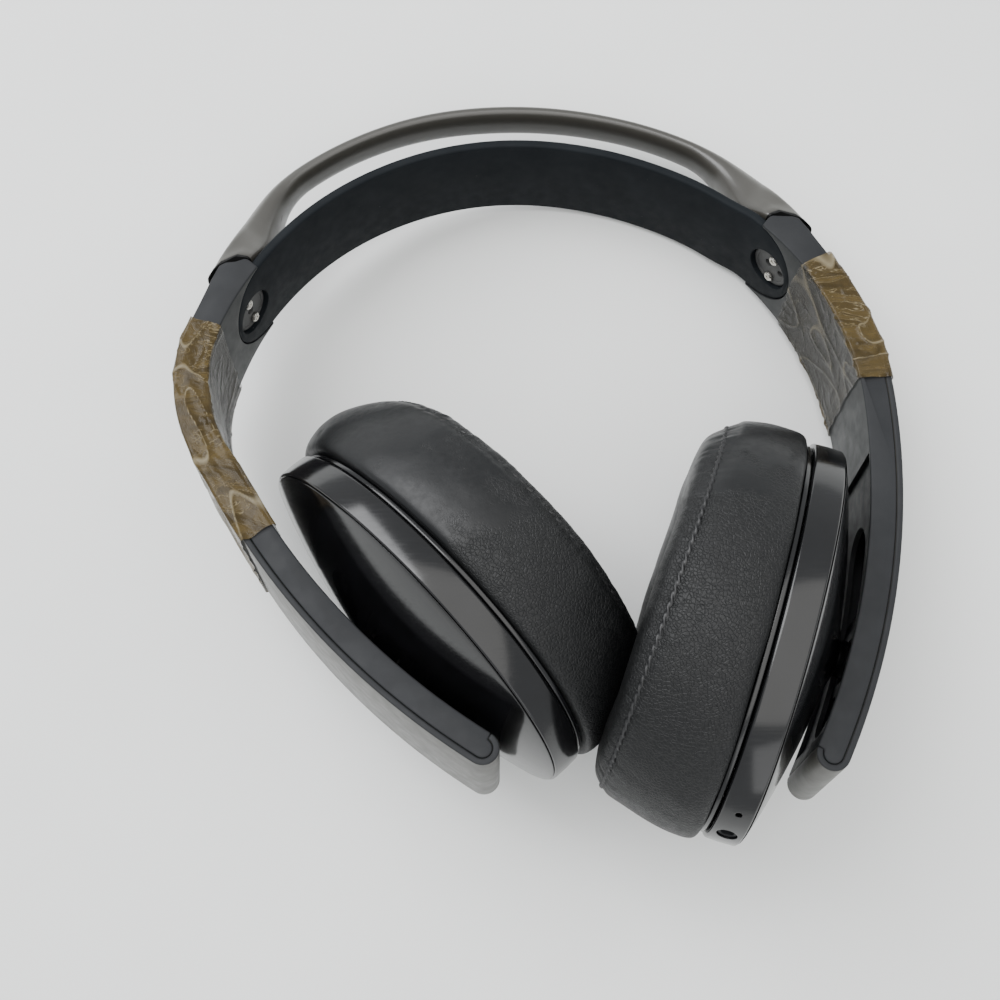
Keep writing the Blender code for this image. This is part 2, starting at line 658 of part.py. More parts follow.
def build_arm(side):
    seat = ARM_THICK - COVER_THICK - GAP
    nib = (seat - COVER_THICK - GAP) / 2
    half = ARM_WIDTH / 2
    outline = arm_arc(side, 0, SEAM_ANGLE, ARM_END_ANGLE + GAP / ARM_LOWER_RADIUS)
    outline += tip_arc(side, nib, math.pi, 0)
    outline += arm_arc(side, seat, ARM_END_ANGLE, COVER_TOP_ANGLE + GAP / STRAP_RADIUS)[1:]
    outline += arm_arc(side, ARM_THICK, COVER_TOP_ANGLE + GAP / STRAP_RADIUS, SEAM_ANGLE, SHOULDER_SWELL)
    shell = flared(plate("arm_shell", outline, -half, half))
    shell = piece(f"arm_shell_{side}", shell, sand_black, pose)

    outline = arm_arc(side, ARM_THICK, COVER_TOP_ANGLE, ARM_END_ANGLE)
    outline += tip_arc(side, ARM_THICK / 2, 0, math.pi)[1:]
    outline += tip_arc(side, ARM_THICK / 2 - COVER_THICK, math.pi, 0)
    outline += arm_arc(side, ARM_THICK - COVER_THICK, ARM_END_ANGLE, COVER_TOP_ANGLE)[1:]
    cover = flared(plate("arm_cover", outline, -half, half))
    piece(f"arm_cover_{side}", cover, warm_grey, pose)

    outline = arm_arc(side, ARM_INNER_WALL, CAVITY_TOP_ANGLE, CAVITY_END_ANGLE)
    outline += arm_arc(side, ARM_THICK, CAVITY_END_ANGLE, CAVITY_TOP_ANGLE)
    inside = half - ARM_SIDE_WALL
    cavity = flared(plate("arm_cavity", outline, -inside, inside))
    cut(shell, piece(f"arm_cavity_{side}", cavity, None, pose))

    slant = SCOOP_DEPTH / ARM_LOWER_RADIUS
    outline = arm_arc(side, -CUT_PAST, SCOOP_TOP_ANGLE, SCOOP_BOTTOM_ANGLE)
    outline += arm_arc(side, SCOOP_DEPTH, SCOOP_BOTTOM_ANGLE, SCOOP_TOP_ANGLE + slant)
    inside = half - SCOOP_MARGIN
    scoop = plate("arm_scoop", outline, -inside, inside)
    cut(shell, piece(f"arm_scoop_{side}", scoop, None, pose))

    window = plate("arm_window", stadium(WINDOW_LENGTH, WINDOW_WIDTH), -CUT_PAST, WINDOW_CUT)
    cut(shell, piece(f"arm_window_{side}", window, None, pose, arm_frame(side, WINDOW_ANGLE)))
    cut(shell, channel_cutter())
    return shell


def stadium(length, width, count=8):
    """A flat outline with half-round ends, along X."""
    points = []
    for end in (1, -1):
        for turn in steps_between(-math.pi / 2, math.pi / 2, count):
            x = end * ((length - width) / 2 + math.cos(turn) * width / 2)
            points.append((x, end * math.sin(turn) * width / 2))
    return points


def build_cable():
    """The cable that joins the two cups through the band, ending beside each pivot."""
    lane = CHANNEL_WIDTH / 2 - CABLE_RADIUS - GAP
    top = SEAM_ANGLE - CHANNEL_REACH
    low = SLIDE_TOP_ANGLE + (BRACKET_HALF[0] + CABLE_END_CLEAR) / ARM_LOWER_RADIUS
    deep = ARM_INNER_WALL + CABLE_RADIUS + CABLE_DEPTH
    halves = []
    for side in SIDES:
        run = []
        for angle in steps_between(low, top, 14):
            share = min(1, max(0, (angle - CAVITY_TOP_ANGLE / 2) / (top - CAVITY_TOP_ANGLE / 2)))
            share = share * share * (3 - 2 * share)
            place = arm_point(side, angle, deep + (CHANNEL_DEPTH - deep) * share)
            run.append((place.x, place.y, lane))
        halves.append(run)
    crown = []
    for angle in crown_angles(SEAM_ANGLE, 30):
        middle = band_section(angle, CHANNEL_THICK, CHANNEL_WIDTH)
        x = (middle[0][0] + middle[1][0]) / 2
        y = (middle[0][1] + middle[1][1]) / 2
        crown.append((x, y, lane))
    route = halves[1] + crown + list(reversed(halves[0]))
    piece("link_cable", wire("link_cable", route, CABLE_RADIUS), dark_plastic, pose)
    ends = (list(reversed(crown[-3:])), crown[:3])
    for side, run, end in zip(SIDES, halves, ends):
        tube = wire("groove", run + end, CABLE_RADIUS + GROOVE_CLEAR)
        groove = piece(f"cable_groove_{side}", tube, None, pose)
        cut(bpy.data.objects[f"arm_shell_{side}"], groove)


def build_tape(side):
    """A turn of packing tape round the arm, a little clear of it."""
    outer = GAP + TAPE_THICK
    half = ARM_WIDTH / 2
    top, bottom = TAPE_TOP_ANGLE[side], TAPE_BOTTOM_ANGLE[side]
    sleeve, core = [
        flared(
            plate(
                "tape",
                arm_arc(side, -reach, top + extra, bottom - extra)
                + arm_arc(side, ARM_THICK + reach, bottom - extra, top + extra, SHOULDER_SWELL),
                -half - reach,
                half + reach,
            )
        )
        for reach, extra in ((outer, 0), (GAP, CUT_PAST_ANGLE))
    ]
    tape = piece(f"repair_tape_{side}", sleeve, brown_tape, pose)
    cut(tape, piece(f"tape_core_{side}", core, None, pose))


# Cup pivots


def build_pivot(side):
    """The slide and gimbal behind the arm's window. Returns the empty that the cup's pieces hang on."""
    frame = arm_frame(side, PIVOT_ANGLE[side])
    swivel = empty(f"swivel_axis_{side}", pose, frame @ Matrix.Rotation(CUP_SWIVEL[side], 4, "Y"))
    tilt = empty(f"tilt_axis_{side}", swivel, Matrix.Rotation(CUP_TILT[side], 4, "X"))
    along = Matrix.Rotation(math.pi / 2, 4, "Y")
    across = Matrix.Rotation(-math.pi / 2, 4, "X")
    bore = PIN_RADIUS + GAP
    length, width, height = (2 * half for half in GIMBAL_HALF)

    ring = piece(
        f"gimbal_{side}", block("gimbal", (length, width, height), PIECE_BEVEL), dark_plastic, swivel
    )
    opening = (length - 2 * GIMBAL_WALL, width - 2 * GIMBAL_WALL, 4 * height)
    cut(ring, piece(f"gimbal_opening_{side}", block("opening", opening), None, swivel))
    reach = BRACKET_HALF[1] + CUT_PAST
    swivel_bore = rod("bore", bore, -reach, reach, 12)
    cut(ring, piece(f"swivel_bore_{side}", swivel_bore, None, swivel, across))
    tilt_bore = piece(f"tilt_bore_{side}", rod("bore", bore, -reach, reach, 12), None, tilt, along)
    cut(ring, tilt_bore)
    pin_half = length / 2 - GAP
    piece(f"tilt_pin_{side}", rod("pin", PIN_RADIUS, -pin_half, pin_half, 12), steel, swivel, along)

    height = BRACKET_HIGH - BRACKET_LOW
    middle = Matrix.Translation((0, 0, (BRACKET_HIGH + BRACKET_LOW) / 2))
    size = (2 * BRACKET_HALF[0], 2 * BRACKET_HALF[1], height)
    bracket = piece(
        f"slide_bracket_{side}", block("bracket", size, PIECE_BEVEL), dark_plastic, pose, frame @ middle
    )
    opening = (length + 2 * BRACKET_CLEAR, width + 2 * BRACKET_CLEAR, 3 * height)
    cut(bracket, piece(f"bracket_opening_{side}", block("opening", opening), None, pose, frame @ middle))
    cut(bracket, bpy.data.objects[f"swivel_bore_{side}"])
    start = GIMBAL_HALF[1] - GIMBAL_WALL + GAP
    for end, turn in (("front", 1), ("rear", -1)):
        facing = turn if side == "left" else -turn
        low, high = sorted((facing * start, facing * (start + SWIVEL_PIN_LENGTH)))
        pin = rod("pin", PIN_RADIUS, low, high, 12)
        piece(f"swivel_pin_{side}_{end}", pin, steel, pose, frame @ across)
    return tilt


# Cups


def build_cup(side, hold):
    """The shells, the speaker and the cushion of one cup. Heights count from the pivot."""
    back = RIM_BACK

    cone = piece(
        f"cup_back_{side}",
        oval(
            "cup_back",
            [
                (0, -GIMBAL_HALF[2]),
                (NECK_RADIUS, -GIMBAL_HALF[2]),
                (NECK_RADIUS, back - BACK_DEPTH - NECK_RISE),
                (NECK_FLARE, back - BACK_DEPTH),
                (CUP_SHORT - RIM_BEVEL, back - GAP - RIM_BEVEL),
                (CUP_SHORT, back - GAP),
                (CUP_SHORT - RIM_WALL - GAP, back - GAP),
                (CUP_SHORT - RIM_WALL - GAP, back + SPIGOT_RISE),
                (CUP_SHORT - RIM_WALL - BACK_WALL, back + SPIGOT_RISE),
                (CUP_SHORT - RIM_WALL - BACK_WALL, back - GAP),
                (NECK_FLARE, back - BACK_DEPTH + BACK_WALL),
                (0, back - BACK_DEPTH + BACK_WALL),
            ],
            closed=False,
        ),
        gloss_black,
        hold,
    )
    cut(cone, bpy.data.objects[f"tilt_bore_{side}"])

    inside = CUP_SHORT - RIM_WALL
    rim = piece(
        f"cup_rim_{side}",
        oval(
            "cup_rim",
            [
                (CUP_SHORT - RIM_BEVEL, back),
                (CUP_SHORT, back + RIM_BEVEL),
                (CUP_SHORT, back + RIM_HEIGHT - RIM_BEVEL),
                (CUP_SHORT - RIM_BEVEL, back + RIM_HEIGHT),
                (inside, back + RIM_HEIGHT),
                (inside, back + LEDGE_LOW + LEDGE_THICK),
                (inside - LEDGE_WIDTH, back + LEDGE_LOW + LEDGE_THICK),
                (inside - LEDGE_WIDTH, back + LEDGE_LOW),
                (inside, back + LEDGE_LOW),
                (inside, back),
            ],
        ),
        gloss_black,
        hold,
    )

    low = back + BAFFLE_LOW
    high = low + BAFFLE_THICK
    disc = [(0, low), (inside - GAP, low), (inside - GAP, high), (0, high)]
    baffle = piece(f"baffle_{side}", oval("baffle", disc, closed=False), dark_plastic, hold)
    hole = rod("driver_hole", DRIVER_RADIUS + GAP, low - CUT_PAST, high + CUT_PAST, 32)
    cut(baffle, piece(f"driver_hole_{side}", hole, None, hold))

    flange = high + GAP
    rear = high - DRIVER_DEPTH
    driver = [
        (DRIVER_VENT_RADIUS, rear),
        (MAGNET_RADIUS, rear),
        (MAGNET_RADIUS, rear + MAGNET_THICK),
        (DRIVER_RADIUS, rear + 2 * MAGNET_THICK),
        (DRIVER_RADIUS, flange),
        (DRIVER_RADIUS + DRIVER_FLANGE, flange),
        (DRIVER_RADIUS + DRIVER_FLANGE, flange + DRIVER_FLANGE_THICK),
        (SURROUND_RADIUS, flange + DRIVER_FLANGE_THICK),
        (DOME_RADIUS, flange - DOME_DIP),
        (DRIVER_VENT_RADIUS, flange + DOME_DIP),
    ]
    piece(f"driver_{side}", turned("driver", driver, 32, closed=True), dark_plastic, hold)

    low = back + RING_LOW
    high = low + RING_THICK
    throat = EAR_RADIUS + RING_SHELF
    edge = CUP_SHORT - RING_INSET
    ring = [(throat, low), (edge, low), (edge, high), (throat, high)]
    piece(f"cushion_ring_{side}", oval("cushion_ring", ring), gloss_black, hold)
    mesh = throat - GAP
    disc = [(0, high - CLOTH_THICK), (mesh, high - CLOTH_THICK), (mesh, high), (0, high)]
    piece(f"speaker_cloth_{side}", oval("speaker_cloth", disc, closed=False), cloth, hold)
    soft = oval("cushion", cushion_profile(), 40)
    for vert in soft.vertices:
        share = (vert.co.z - back - CUSHION_LOW) / CUSHION_THICK
        vert.co.x *= 1 - share * CUSHION_TAPER / CUP_LONG
    piece(f"cushion_{side}", soft, leather, hold)
    return rim, cone, baffle


def cushion_profile():
    """The cushion's cross-section: an upright side wall to the seam, then a full roll into the opening."""
    foot = RIM_BACK + CUSHION_LOW
    seam = foot + CUSHION_SIDE
    crest = foot + CUSHION_THICK
    middle = (CUSHION_HALF + EAR_RADIUS) / 2
    side = [
        (CUP_SHORT - CUSHION_FOOT, foot),
        (CUSHION_HALF - CUSHION_ROUND, foot + CUSHION_ROUND_RUN),
        (CUSHION_HALF, foot + CUSHION_SIDE / 2),
        (CUSHION_HALF - CUSHION_ROUND, seam - CUSHION_ROUND_RUN),
        (CUSHION_HALF - CUSHION_SEAM_INSET, seam),
    ]
    rise = crest - seam
    for turn in steps_between(20 * DEG, 160 * DEG, 5):
        reach = CUSHION_HALF - CUSHION_SEAM_INSET - middle
        side.append((middle + reach * math.cos(turn), seam + rise * math.sin(turn)))
    side.append((EAR_RADIUS, seam - CUSHION_ROUND_RUN))
    side.append((EAR_RADIUS, foot + CUSHION_ROUND_RUN))
    side.append((EAR_RADIUS + CUSHION_ROUND, foot))
    return side


def rim_place(turn, along=None):
    """A place on the rim's outer face, with Z outward and Y towards the ear."""
    along = RIM_HEIGHT / 2 if along is None else along
    place = Vector((CUP_LONG * math.cos(turn), CUP_SHORT * math.sin(turn), RIM_BACK + along))
    outward = Vector((math.cos(turn) / CUP_LONG, math.sin(turn) / CUP_SHORT, 0)).normalized()
    ear = Vector((0, 0, 1))
    frame = Matrix((ear.cross(outward), ear, outward)).transposed().to_4x4()
    return Matrix.Translation(place) @ frame


# Electronics and controls


def build_electronics(hold, other_hold, rim, cone, baffle):
    """The battery is in the left cup, everything else in the right one."""
    size = BATTERY_SIZE
    low = RIM_BACK + BATTERY_RISE
    place = Matrix.Translation((BATTERY_PLACE, 0, low + size[2] / 2))
    piece("battery", block("battery", size, BATTERY_BEVEL), foil, other_hold, place)

    low = RIM_BACK + BOARD_RISE
    high = low + BOARD_THICK
    disc = [(0, low), (BOARD_RADIUS, low), (BOARD_RADIUS, high), (0, high)]
    board = piece("main_board", oval("main_board", disc, closed=False), copper_board, hold)
    hole = rod("board_hole", DRIVER_RADIUS + BOARD_HOLE_CLEAR, low - CUT_PAST, high + CUT_PAST, 32)
    cut(board, piece("board_hole", hole, None, hold))

    place = rim_place(JACK_PLACE)
    top = -JACK_SUNK
    foot = top - JACK_LENGTH
    bore = [(JACK_BORE, top), (JACK_RADIUS, top), (JACK_RADIUS, foot), (JACK_BORE, foot)]
    piece("audio_jack", turned("audio_jack", bore, 20, closed=True), dark_plastic, hold, place)
    hole = rod("jack_hole", JACK_RADIUS + GAP, foot - GAP, CUT_PAST, 20)
    hole = piece("jack_hole", hole, None, hold, place)
    for holder in (rim, cone, baffle, board):
        cut(holder, hole)

    place = rim_place(USB_PLACE, USB_RISE)
    sunk = Matrix.Translation((0, 0, -USB_SIZE[2] / 2 - USB_WALL))
    shell = block("usb_socket", USB_SIZE, USB_BEVEL)
    socket = piece("usb_socket", shell, steel, hold, place @ sunk)
    mouth = (USB_SIZE[0] - 2 * USB_WALL, USB_SIZE[1] - 2 * USB_WALL, USB_SIZE[2])
    raised = Matrix.Translation((0, 0, -USB_SIZE[2] / 2 + USB_WALL))
    cut(socket, piece("usb_mouth", block("usb_mouth", mouth), None, hold, place @ raised))
    port = (USB_SIZE[0] + 2 * GAP, USB_SIZE[1] + 2 * GAP, 2 * USB_SIZE[2] + 2 * CUT_PAST)
    cut(rim, piece("usb_port", block("usb_port", port), None, hold, place))

    for name, turn in MIC_PLACES.items():
        place = rim_place(turn, MIC_RISE)
        top = -RIM_WALL - GAP
        capsule = rod("mic", MIC_RADIUS, top - MIC_THICK, top, 16)
        piece(f"mic_{name}", capsule, grey_plastic, hold, place)
        recess = rod("mic_recess", MIC_RADIUS + GAP, top - MIC_THICK - GAP, top + GAP, 16)
        cut(rim, piece(f"mic_recess_{name}", recess, None, hold, place))
        port = rod("mic_port", MIC_HOLE_RADIUS, -RIM_WALL - CUT_PAST, CUT_PAST, 12)
        cut(rim, piece(f"mic_port_{name}", port, None, hold, place))

    place = rim_place(LED_PLACE)
    guide = rod("led_guide", LED_RADIUS, -RIM_WALL - GAP, 0, 12)
    piece("status_light", guide, white_lens, hold, place)
    hole = rod("led_hole", LED_RADIUS + GAP, -2 * RIM_WALL - LEDGE_WIDTH, CUT_PAST, 12)
    cut(rim, piece("led_hole", hole, None, hold, place))


def build_controls(hold, rim):
    """Buttons, rockers and the slide switch in windows of the rim."""
    for name, (turn, length) in CONTROLS.items():
        axis = empty(f"{name}_axis", hold, rim_place(turn))
        travel = SLIDER_TRAVEL if name == "power_slider" else 0
        middle = Matrix.Translation((-travel / 2, 0, CONTROL_PROUD - CONTROL_DEPTH / 2))
        size = (length, CONTROL_WIDTH, CONTROL_DEPTH)
        piece(name, block(name, size, PIECE_BEVEL), dark_plastic, axis, middle)
        slot = length + travel + 2 * GAP
        size = (slot, CONTROL_WIDTH + 2 * GAP, 3 * CONTROL_DEPTH)
        cut(rim, piece(f"{name}_window", block("window", size), None, axis))


# Assembly


def rest_on_table(touching):
    """Turns and moves the whole headset so that it stands on its strap and both cushions."""
    down = Vector((0, 0, -1))
    for _ in range(4):
        feet = []
        for name in touching:
            held = bpy.data.objects[name]
            spots = [held.matrix_world @ vert.co for vert in held.data.vertices]
            feet.append(max(spots, key=down.dot))
        down = (feet[1] - feet[0]).cross(feet[2] - feet[0]).normalized()
        if down.z > 0:
            down = -down
    turn = (-down).rotation_difference(Vector((0, 0, 1))).to_matrix().to_4x4()
    pose.matrix_world = Matrix.Rotation(YAW, 4, "Z") @ turn
    bpy.context.view_layer.update()
    solid = [held for held in parts.objects if held.data]
    spots = [held.matrix_world @ vert.co for held in solid for vert in held.data.vertices]
    low = Vector([min(spot[i] for spot in spots) for i in range(3)])
    high = Vector([max(spot[i] for spot in spots) for i in range(3)])
    stand = Vector(((low.x + high.x) / 2, (low.y + high.y) / 2, low.z))
    pose.matrix_world = Matrix.Translation(-stand) @ pose.matrix_world
    bpy.context.view_layer.update()


def main():
    for side in SIDES:
        build_arm(side)
    build_band()
    build_strap()
    build_cable()
    made = {}
    for side in SIDES:
        build_tape(side)
        hold = build_pivot(side)
        made[side] = (hold, *build_cup(side, hold))
    hold, rim, cone, baffle = made["right"]
    build_electronics(hold, made["left"][0], rim, cone, baffle)
    build_controls(hold, rim)
    bpy.context.view_layer.update()
    rest_on_table(("inner_strap", "cushion_left", "cushion_right"))


main()
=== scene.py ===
import json
import math

import bmesh
import bpy
from mathutils import Matrix, Vector, noise


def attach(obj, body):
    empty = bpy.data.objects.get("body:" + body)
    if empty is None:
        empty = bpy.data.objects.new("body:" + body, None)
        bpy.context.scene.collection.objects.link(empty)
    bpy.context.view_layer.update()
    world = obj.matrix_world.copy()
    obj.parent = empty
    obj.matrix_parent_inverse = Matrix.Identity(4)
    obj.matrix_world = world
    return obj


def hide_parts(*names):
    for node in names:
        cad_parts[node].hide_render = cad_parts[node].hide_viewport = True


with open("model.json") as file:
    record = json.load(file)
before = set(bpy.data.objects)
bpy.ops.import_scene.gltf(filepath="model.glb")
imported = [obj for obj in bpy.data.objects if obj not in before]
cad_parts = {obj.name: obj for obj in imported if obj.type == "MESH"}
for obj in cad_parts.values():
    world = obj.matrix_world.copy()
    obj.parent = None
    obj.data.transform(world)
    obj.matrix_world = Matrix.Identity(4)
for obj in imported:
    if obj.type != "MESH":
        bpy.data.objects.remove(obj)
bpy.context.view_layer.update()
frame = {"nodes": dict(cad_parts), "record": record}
nodes = frame["nodes"]
joints = {joint["name"]: joint for joint in frame["record"]["behaviour"]["joints"]}
mm = 0.001
deg = math.pi / 180
sides = ("left", "right")
print("frame loaded")

# the headset's own plan, X across the head and Y to the crown, lies pitched on its edge
lie = Matrix.Translation((-0.465 * mm, 0.814 * mm, 37.103 * mm)) @ (
    Matrix.Rotation(4.88 * deg, 4, "Z")
    @ Matrix.Rotation(5.94 * deg, 4, "Y")
    @ Matrix.Rotation(-11.904 * deg, 4, "X")
)

camera = bpy.data.objects.new("camera", bpy.data.cameras.new("camera"))
bpy.context.scene.collection.objects.link(camera)
camera.data.lens = 50.4
camera.data.clip_start = 0.01
camera.location = (22.9 * mm, -87.27 * mm, 429.12 * mm)
camera.rotation_euler = (10.092 * deg, 4.781 * deg, -0.52 * deg)
bpy.context.scene.camera = camera


def linear(text):
    # sRGB hex to the linear colour that shaders take
    parts = [int(text[i : i + 2], 16) / 255 for i in (1, 3, 5)]
    return [*((c / 12.92 if c <= 0.04045 else ((c + 0.055) / 1.055) ** 2.4) for c in parts), 1]


# node materials

def addNode(tree, kind, values=None, **settings):
    node = tree.nodes.new("ShaderNode" + kind)
    for name, value in settings.items():
        setattr(node, name, value)
    for name, value in (values or {}).items():
        socket = node.inputs[name]
        if isinstance(value, bpy.types.NodeSocket):
            tree.links.new(value, socket)
        else:
            socket.default_value = value
    return node


def surface(name):
    made = bpy.data.materials.new(name)
    made.use_nodes = True
    tree = made.node_tree
    return made, tree, tree.nodes["Principled BSDF"]


def fill(tree, shader, values):
    for name, value in values.items():
        if isinstance(value, bpy.types.NodeSocket):
            tree.links.new(value, shader.inputs[name])
        else:
            shader.inputs[name].default_value = value


def grain(tree, scale, detail=3.0, rough=0.5, where=None):
    # noise whose features are 1/scale metres across
    if where is None:
        where = addNode(tree, "TexCoord").outputs["Object"]
    return addNode(
        tree, "TexNoise", {"Vector": where, "Scale": scale, "Detail": detail, "Roughness": rough}
    ).outputs["Fac"]


def spread(tree, value, low, high, fromLow=0.3, fromHigh=0.7):
    node = addNode(
        tree, "MapRange",
        {"Value": value, "From Min": fromLow, "From Max": fromHigh, "To Min": low, "To Max": high}
    )
    return node.outputs["Result"]


def blendColour(tree, share, first, second):
    node = addNode(tree, "Mix", data_type="RGBA")
    for index, value in ((0, share), (6, first), (7, second)):
        if isinstance(value, bpy.types.NodeSocket):
            tree.links.new(value, node.inputs[index])
        else:
            node.inputs[index].default_value = value
    return node.outputs[2]


def bump(tree, height, distance, strength=1.0, under=None):
    values = {"Height": height, "Distance": distance, "Strength": strength}
    if under is not None:
        values["Normal"] = under
    return addNode(tree, "Bump", values).outputs["Normal"]


def rounded(tree, radius=0.25 * mm):
    # softens the light on edges as moulding does
    return addNode(tree, "Bevel", {"Radius": radius}, samples=4).outputs["Normal"]


def mouldedPlastic(name, dark, pale, rough, grainSize, grainDepth, coat=0.0):
    # injection-moulded plastic with a spark-eroded texture, for a fine even sparkle under soft light
    made, tree, shader = surface(name)
    fine = grain(tree, 1 / grainSize, 2)
    patches = grain(tree, 90, 3)
    normal = bump(tree, fine, grainDepth, 1.0, rounded(tree))
    fill(tree, shader, {
        "Base Color": blendColour(tree, spread(tree, patches, 0, 1), linear(dark), linear(pale)),
        "Roughness": spread(tree, grain(tree, 260, 4), rough - 0.05, rough + 0.07),
        "Specular IOR Level": 0.2,
        "Coat Weight": coat,
        "Coat Roughness": 0.3,
        "Normal": normal,
    })
    return made


sandPlastic = mouldedPlastic(
    "sand_textured_moulded_plastic", "#232426", "#28292b", 0.58, 0.22 * mm, 0.03 * mm
)
facePlastic = mouldedPlastic("satin_moulded_plastic", "#202222", "#272929", 0.42, 0.12 * mm, 0.006 * mm)
coverPlastic = mouldedPlastic(
    "satin_painted_cover_plastic", "#403f3b", "#484742", 0.4, 0.1 * mm, 0.004 * mm, 0.15
)
scoopPlastic = mouldedPlastic(
    "polished_recess_plastic", "#2a2b2b", "#323333", 0.22, 0.4 * mm, 0.002 * mm, 0.3
)
darkPlastic = mouldedPlastic("dark_moulded_plastic", "#1d1e1f", "#27282a", 0.45, 0.15 * mm, 0.008 * mm)
anchorPlastic = mouldedPlastic("glass_filled_grey_plastic", "#3c3c3c", "#4b4b4a", 0.5, 0.3 * mm, 0.02 * mm)


def smokedPlastic():
    # smoke-tinted satin plastic for the band's brown body, with a painted highlight that makes its rims lighter
    made, tree, shader = surface("smoked_satin_plastic")
    # painted highlight: the colour turns paler where the surface turns away from the view, standing in for the
    # light along the band's rims
    edge = addNode(tree, "LayerWeight", {"Blend": 0.35}).outputs["Facing"]
    tone = blendColour(tree, spread(tree, edge, 0, 1, 0.25, 0.85), linear("#3a3834"), linear("#504f48"))
    # a random cloudy tone, laid over the painted rim highlight
    cloudyWithPaintedSheen = blendColour(tree, spread(tree, grain(tree, 60, 3), 0, 0.25), tone, linear("#3a3833"))
    fill(tree, shader, {
        "Base Color": cloudyWithPaintedSheen,
        "Roughness": spread(tree, grain(tree, 500, 3), 0.3, 0.4),
        "Coat Weight": 0.35,
        "Coat Roughness": 0.22,
        "Normal": bump(tree, grain(tree, 5000, 2), 0.004 * mm),
    })
    return made


def strapRubber():
    # matt moulded rubber with lint and dust, for a soft dark face with a few pale specks
    made, tree, shader = surface("matt_moulded_rubber")
    where = addNode(tree, "TexCoord").outputs["Object"]
    specks = addNode(tree, "TexVoronoi", {"Vector": where, "Scale": 420}, feature="F1").outputs["Distance"]
    share = spread(tree, specks, 0.35, 0, 0.02, 0.07)
    rare = addNode(
        tree, "Math", {0: share, 1: spread(tree, grain(tree, 150, 2), 0, 1, 0.55, 0.65)},
        operation="MULTIPLY"
    )
    tone = blendColour(tree, spread(tree, grain(tree, 70, 4), 0, 1), linear("#15181b"), linear("#1b1e21"))
    fill(tree, shader, {
        "Base Color": blendColour(tree, rare.outputs["Value"], tone, linear("#8b8b88")),
        "Roughness": spread(tree, grain(tree, 300, 4), 0.55, 0.68),
        "Specular IOR Level": 0.08,
        "Normal": bump(tree, grain(tree, 3500, 3), 0.02 * mm, 1.0, rounded(tree, 0.4 * mm)),
    })
    return made


def glossPlastic(name="gloss_black_polished_plastic", rough=0.13):
    # high-gloss moulded plastic with fine wipe marks, for sharp bands of light with faint scratches in them
    made, tree, shader = surface(name)
    where = addNode(tree, "TexCoord").outputs["Object"]
    stretched = addNode(
        tree, "Mapping", {"Vector": where, "Rotation": (0.3, 0.2, 0.6), "Scale": (90, 2600, 900)}
    ).outputs["Vector"]
    wipes = addNode(tree, "TexNoise", {"Vector": stretched, "Scale": 1.0, "Detail": 4.0}).outputs["Fac"]
    smear = grain(tree, 120, 4)
    fill(tree, shader, {
        "Base Color": blendColour(tree, spread(tree, smear, 0, 1), linear("#070708"), linear("#0d0d0f")),
        "Roughness": spread(tree, wipes, rough, rough + 0.1, 0.45, 0.8),
        "Specular IOR Level": 0.55,
        "Normal": bump(tree, wipes, 0.0012 * mm, 0.6, rounded(tree, 0.3 * mm)),
    })
    return made


def fauxLeather(name):
    # coated faux leather, for worn smooth patches next to fine cracked grain with a soft sheen
    made, tree, shader = surface(name)
    where = addNode(tree, "TexCoord").outputs["Object"]
    wear = addNode(tree, "Attribute", attribute_name="grainShare").outputs["Fac"]
    patch = addNode(
        tree, "Math", {0: wear, 1: spread(tree, grain(tree, 75, 4), -0.3, 0.35)}, operation="ADD"
    ).outputs["Value"]
    rough = addNode(
        tree, "MapRange", {"Value": patch, "From Min": 0.35, "From Max": 0.6, "To Min": 0.0, "To Max": 1.0}
    ).outputs["Result"]
    shift = addNode(
        tree, "VectorMath",
        {0: addNode(tree, "TexNoise", {"Vector": where, "Scale": 500, "Detail": 2}).outputs["Color"]},
        operation="SCALE"
    )
    shift.inputs["Scale"].default_value = 0.0012
    moved = addNode(
        tree, "VectorMath", {0: where, 1: shift.outputs["Vector"]}, operation="ADD"
    ).outputs["Vector"]
    cracks = addNode(
        tree, "TexVoronoi", {"Vector": moved, "Scale": 1050}, feature="DISTANCE_TO_EDGE"
    ).outputs["Distance"]
    pebbles = spread(tree, cracks, 0, 1, 0.0, 0.16)
    deep = addNode(tree, "Math", {0: pebbles, 1: rough}, operation="MULTIPLY").outputs["Value"]
    level = addNode(tree, "Math", {0: 1.0, 1: rough}, operation="SUBTRACT").outputs["Value"]
    height = addNode(tree, "Math", {0: deep, 1: level}, operation="ADD").outputs["Value"]
    folds = bump(tree, grain(tree, 240, 5, 0.6), 0.12 * mm, 0.6)
    skin = bump(tree, height, 0.09 * mm, 1.0, folds)
    pores = bump(tree, grain(tree, 4200, 2), 0.008 * mm, 1.0, skin)
    tone = blendColour(tree, spread(tree, grain(tree, 45, 3), 0, 1), linear("#060708"), linear("#0b0c0d"))
    scuffed = blendColour(
        tree, addNode(tree, "Math", {0: level, 1: 0.35}, operation="MULTIPLY").outputs["Value"], tone,
        linear("#131416")
    )
    fill(tree, shader, {
        "Base Color": scuffed,
        "Roughness": addNode(
            tree, "Math",
            {0: spread(tree, rough, 0.4, 0.5, 0, 1), 1: spread(tree, grain(tree, 600, 3), -0.05, 0.06)},
            operation="ADD"
        ).outputs["Value"],
        "Specular IOR Level": 0.35,
        "Normal": pores,
    })
    return made


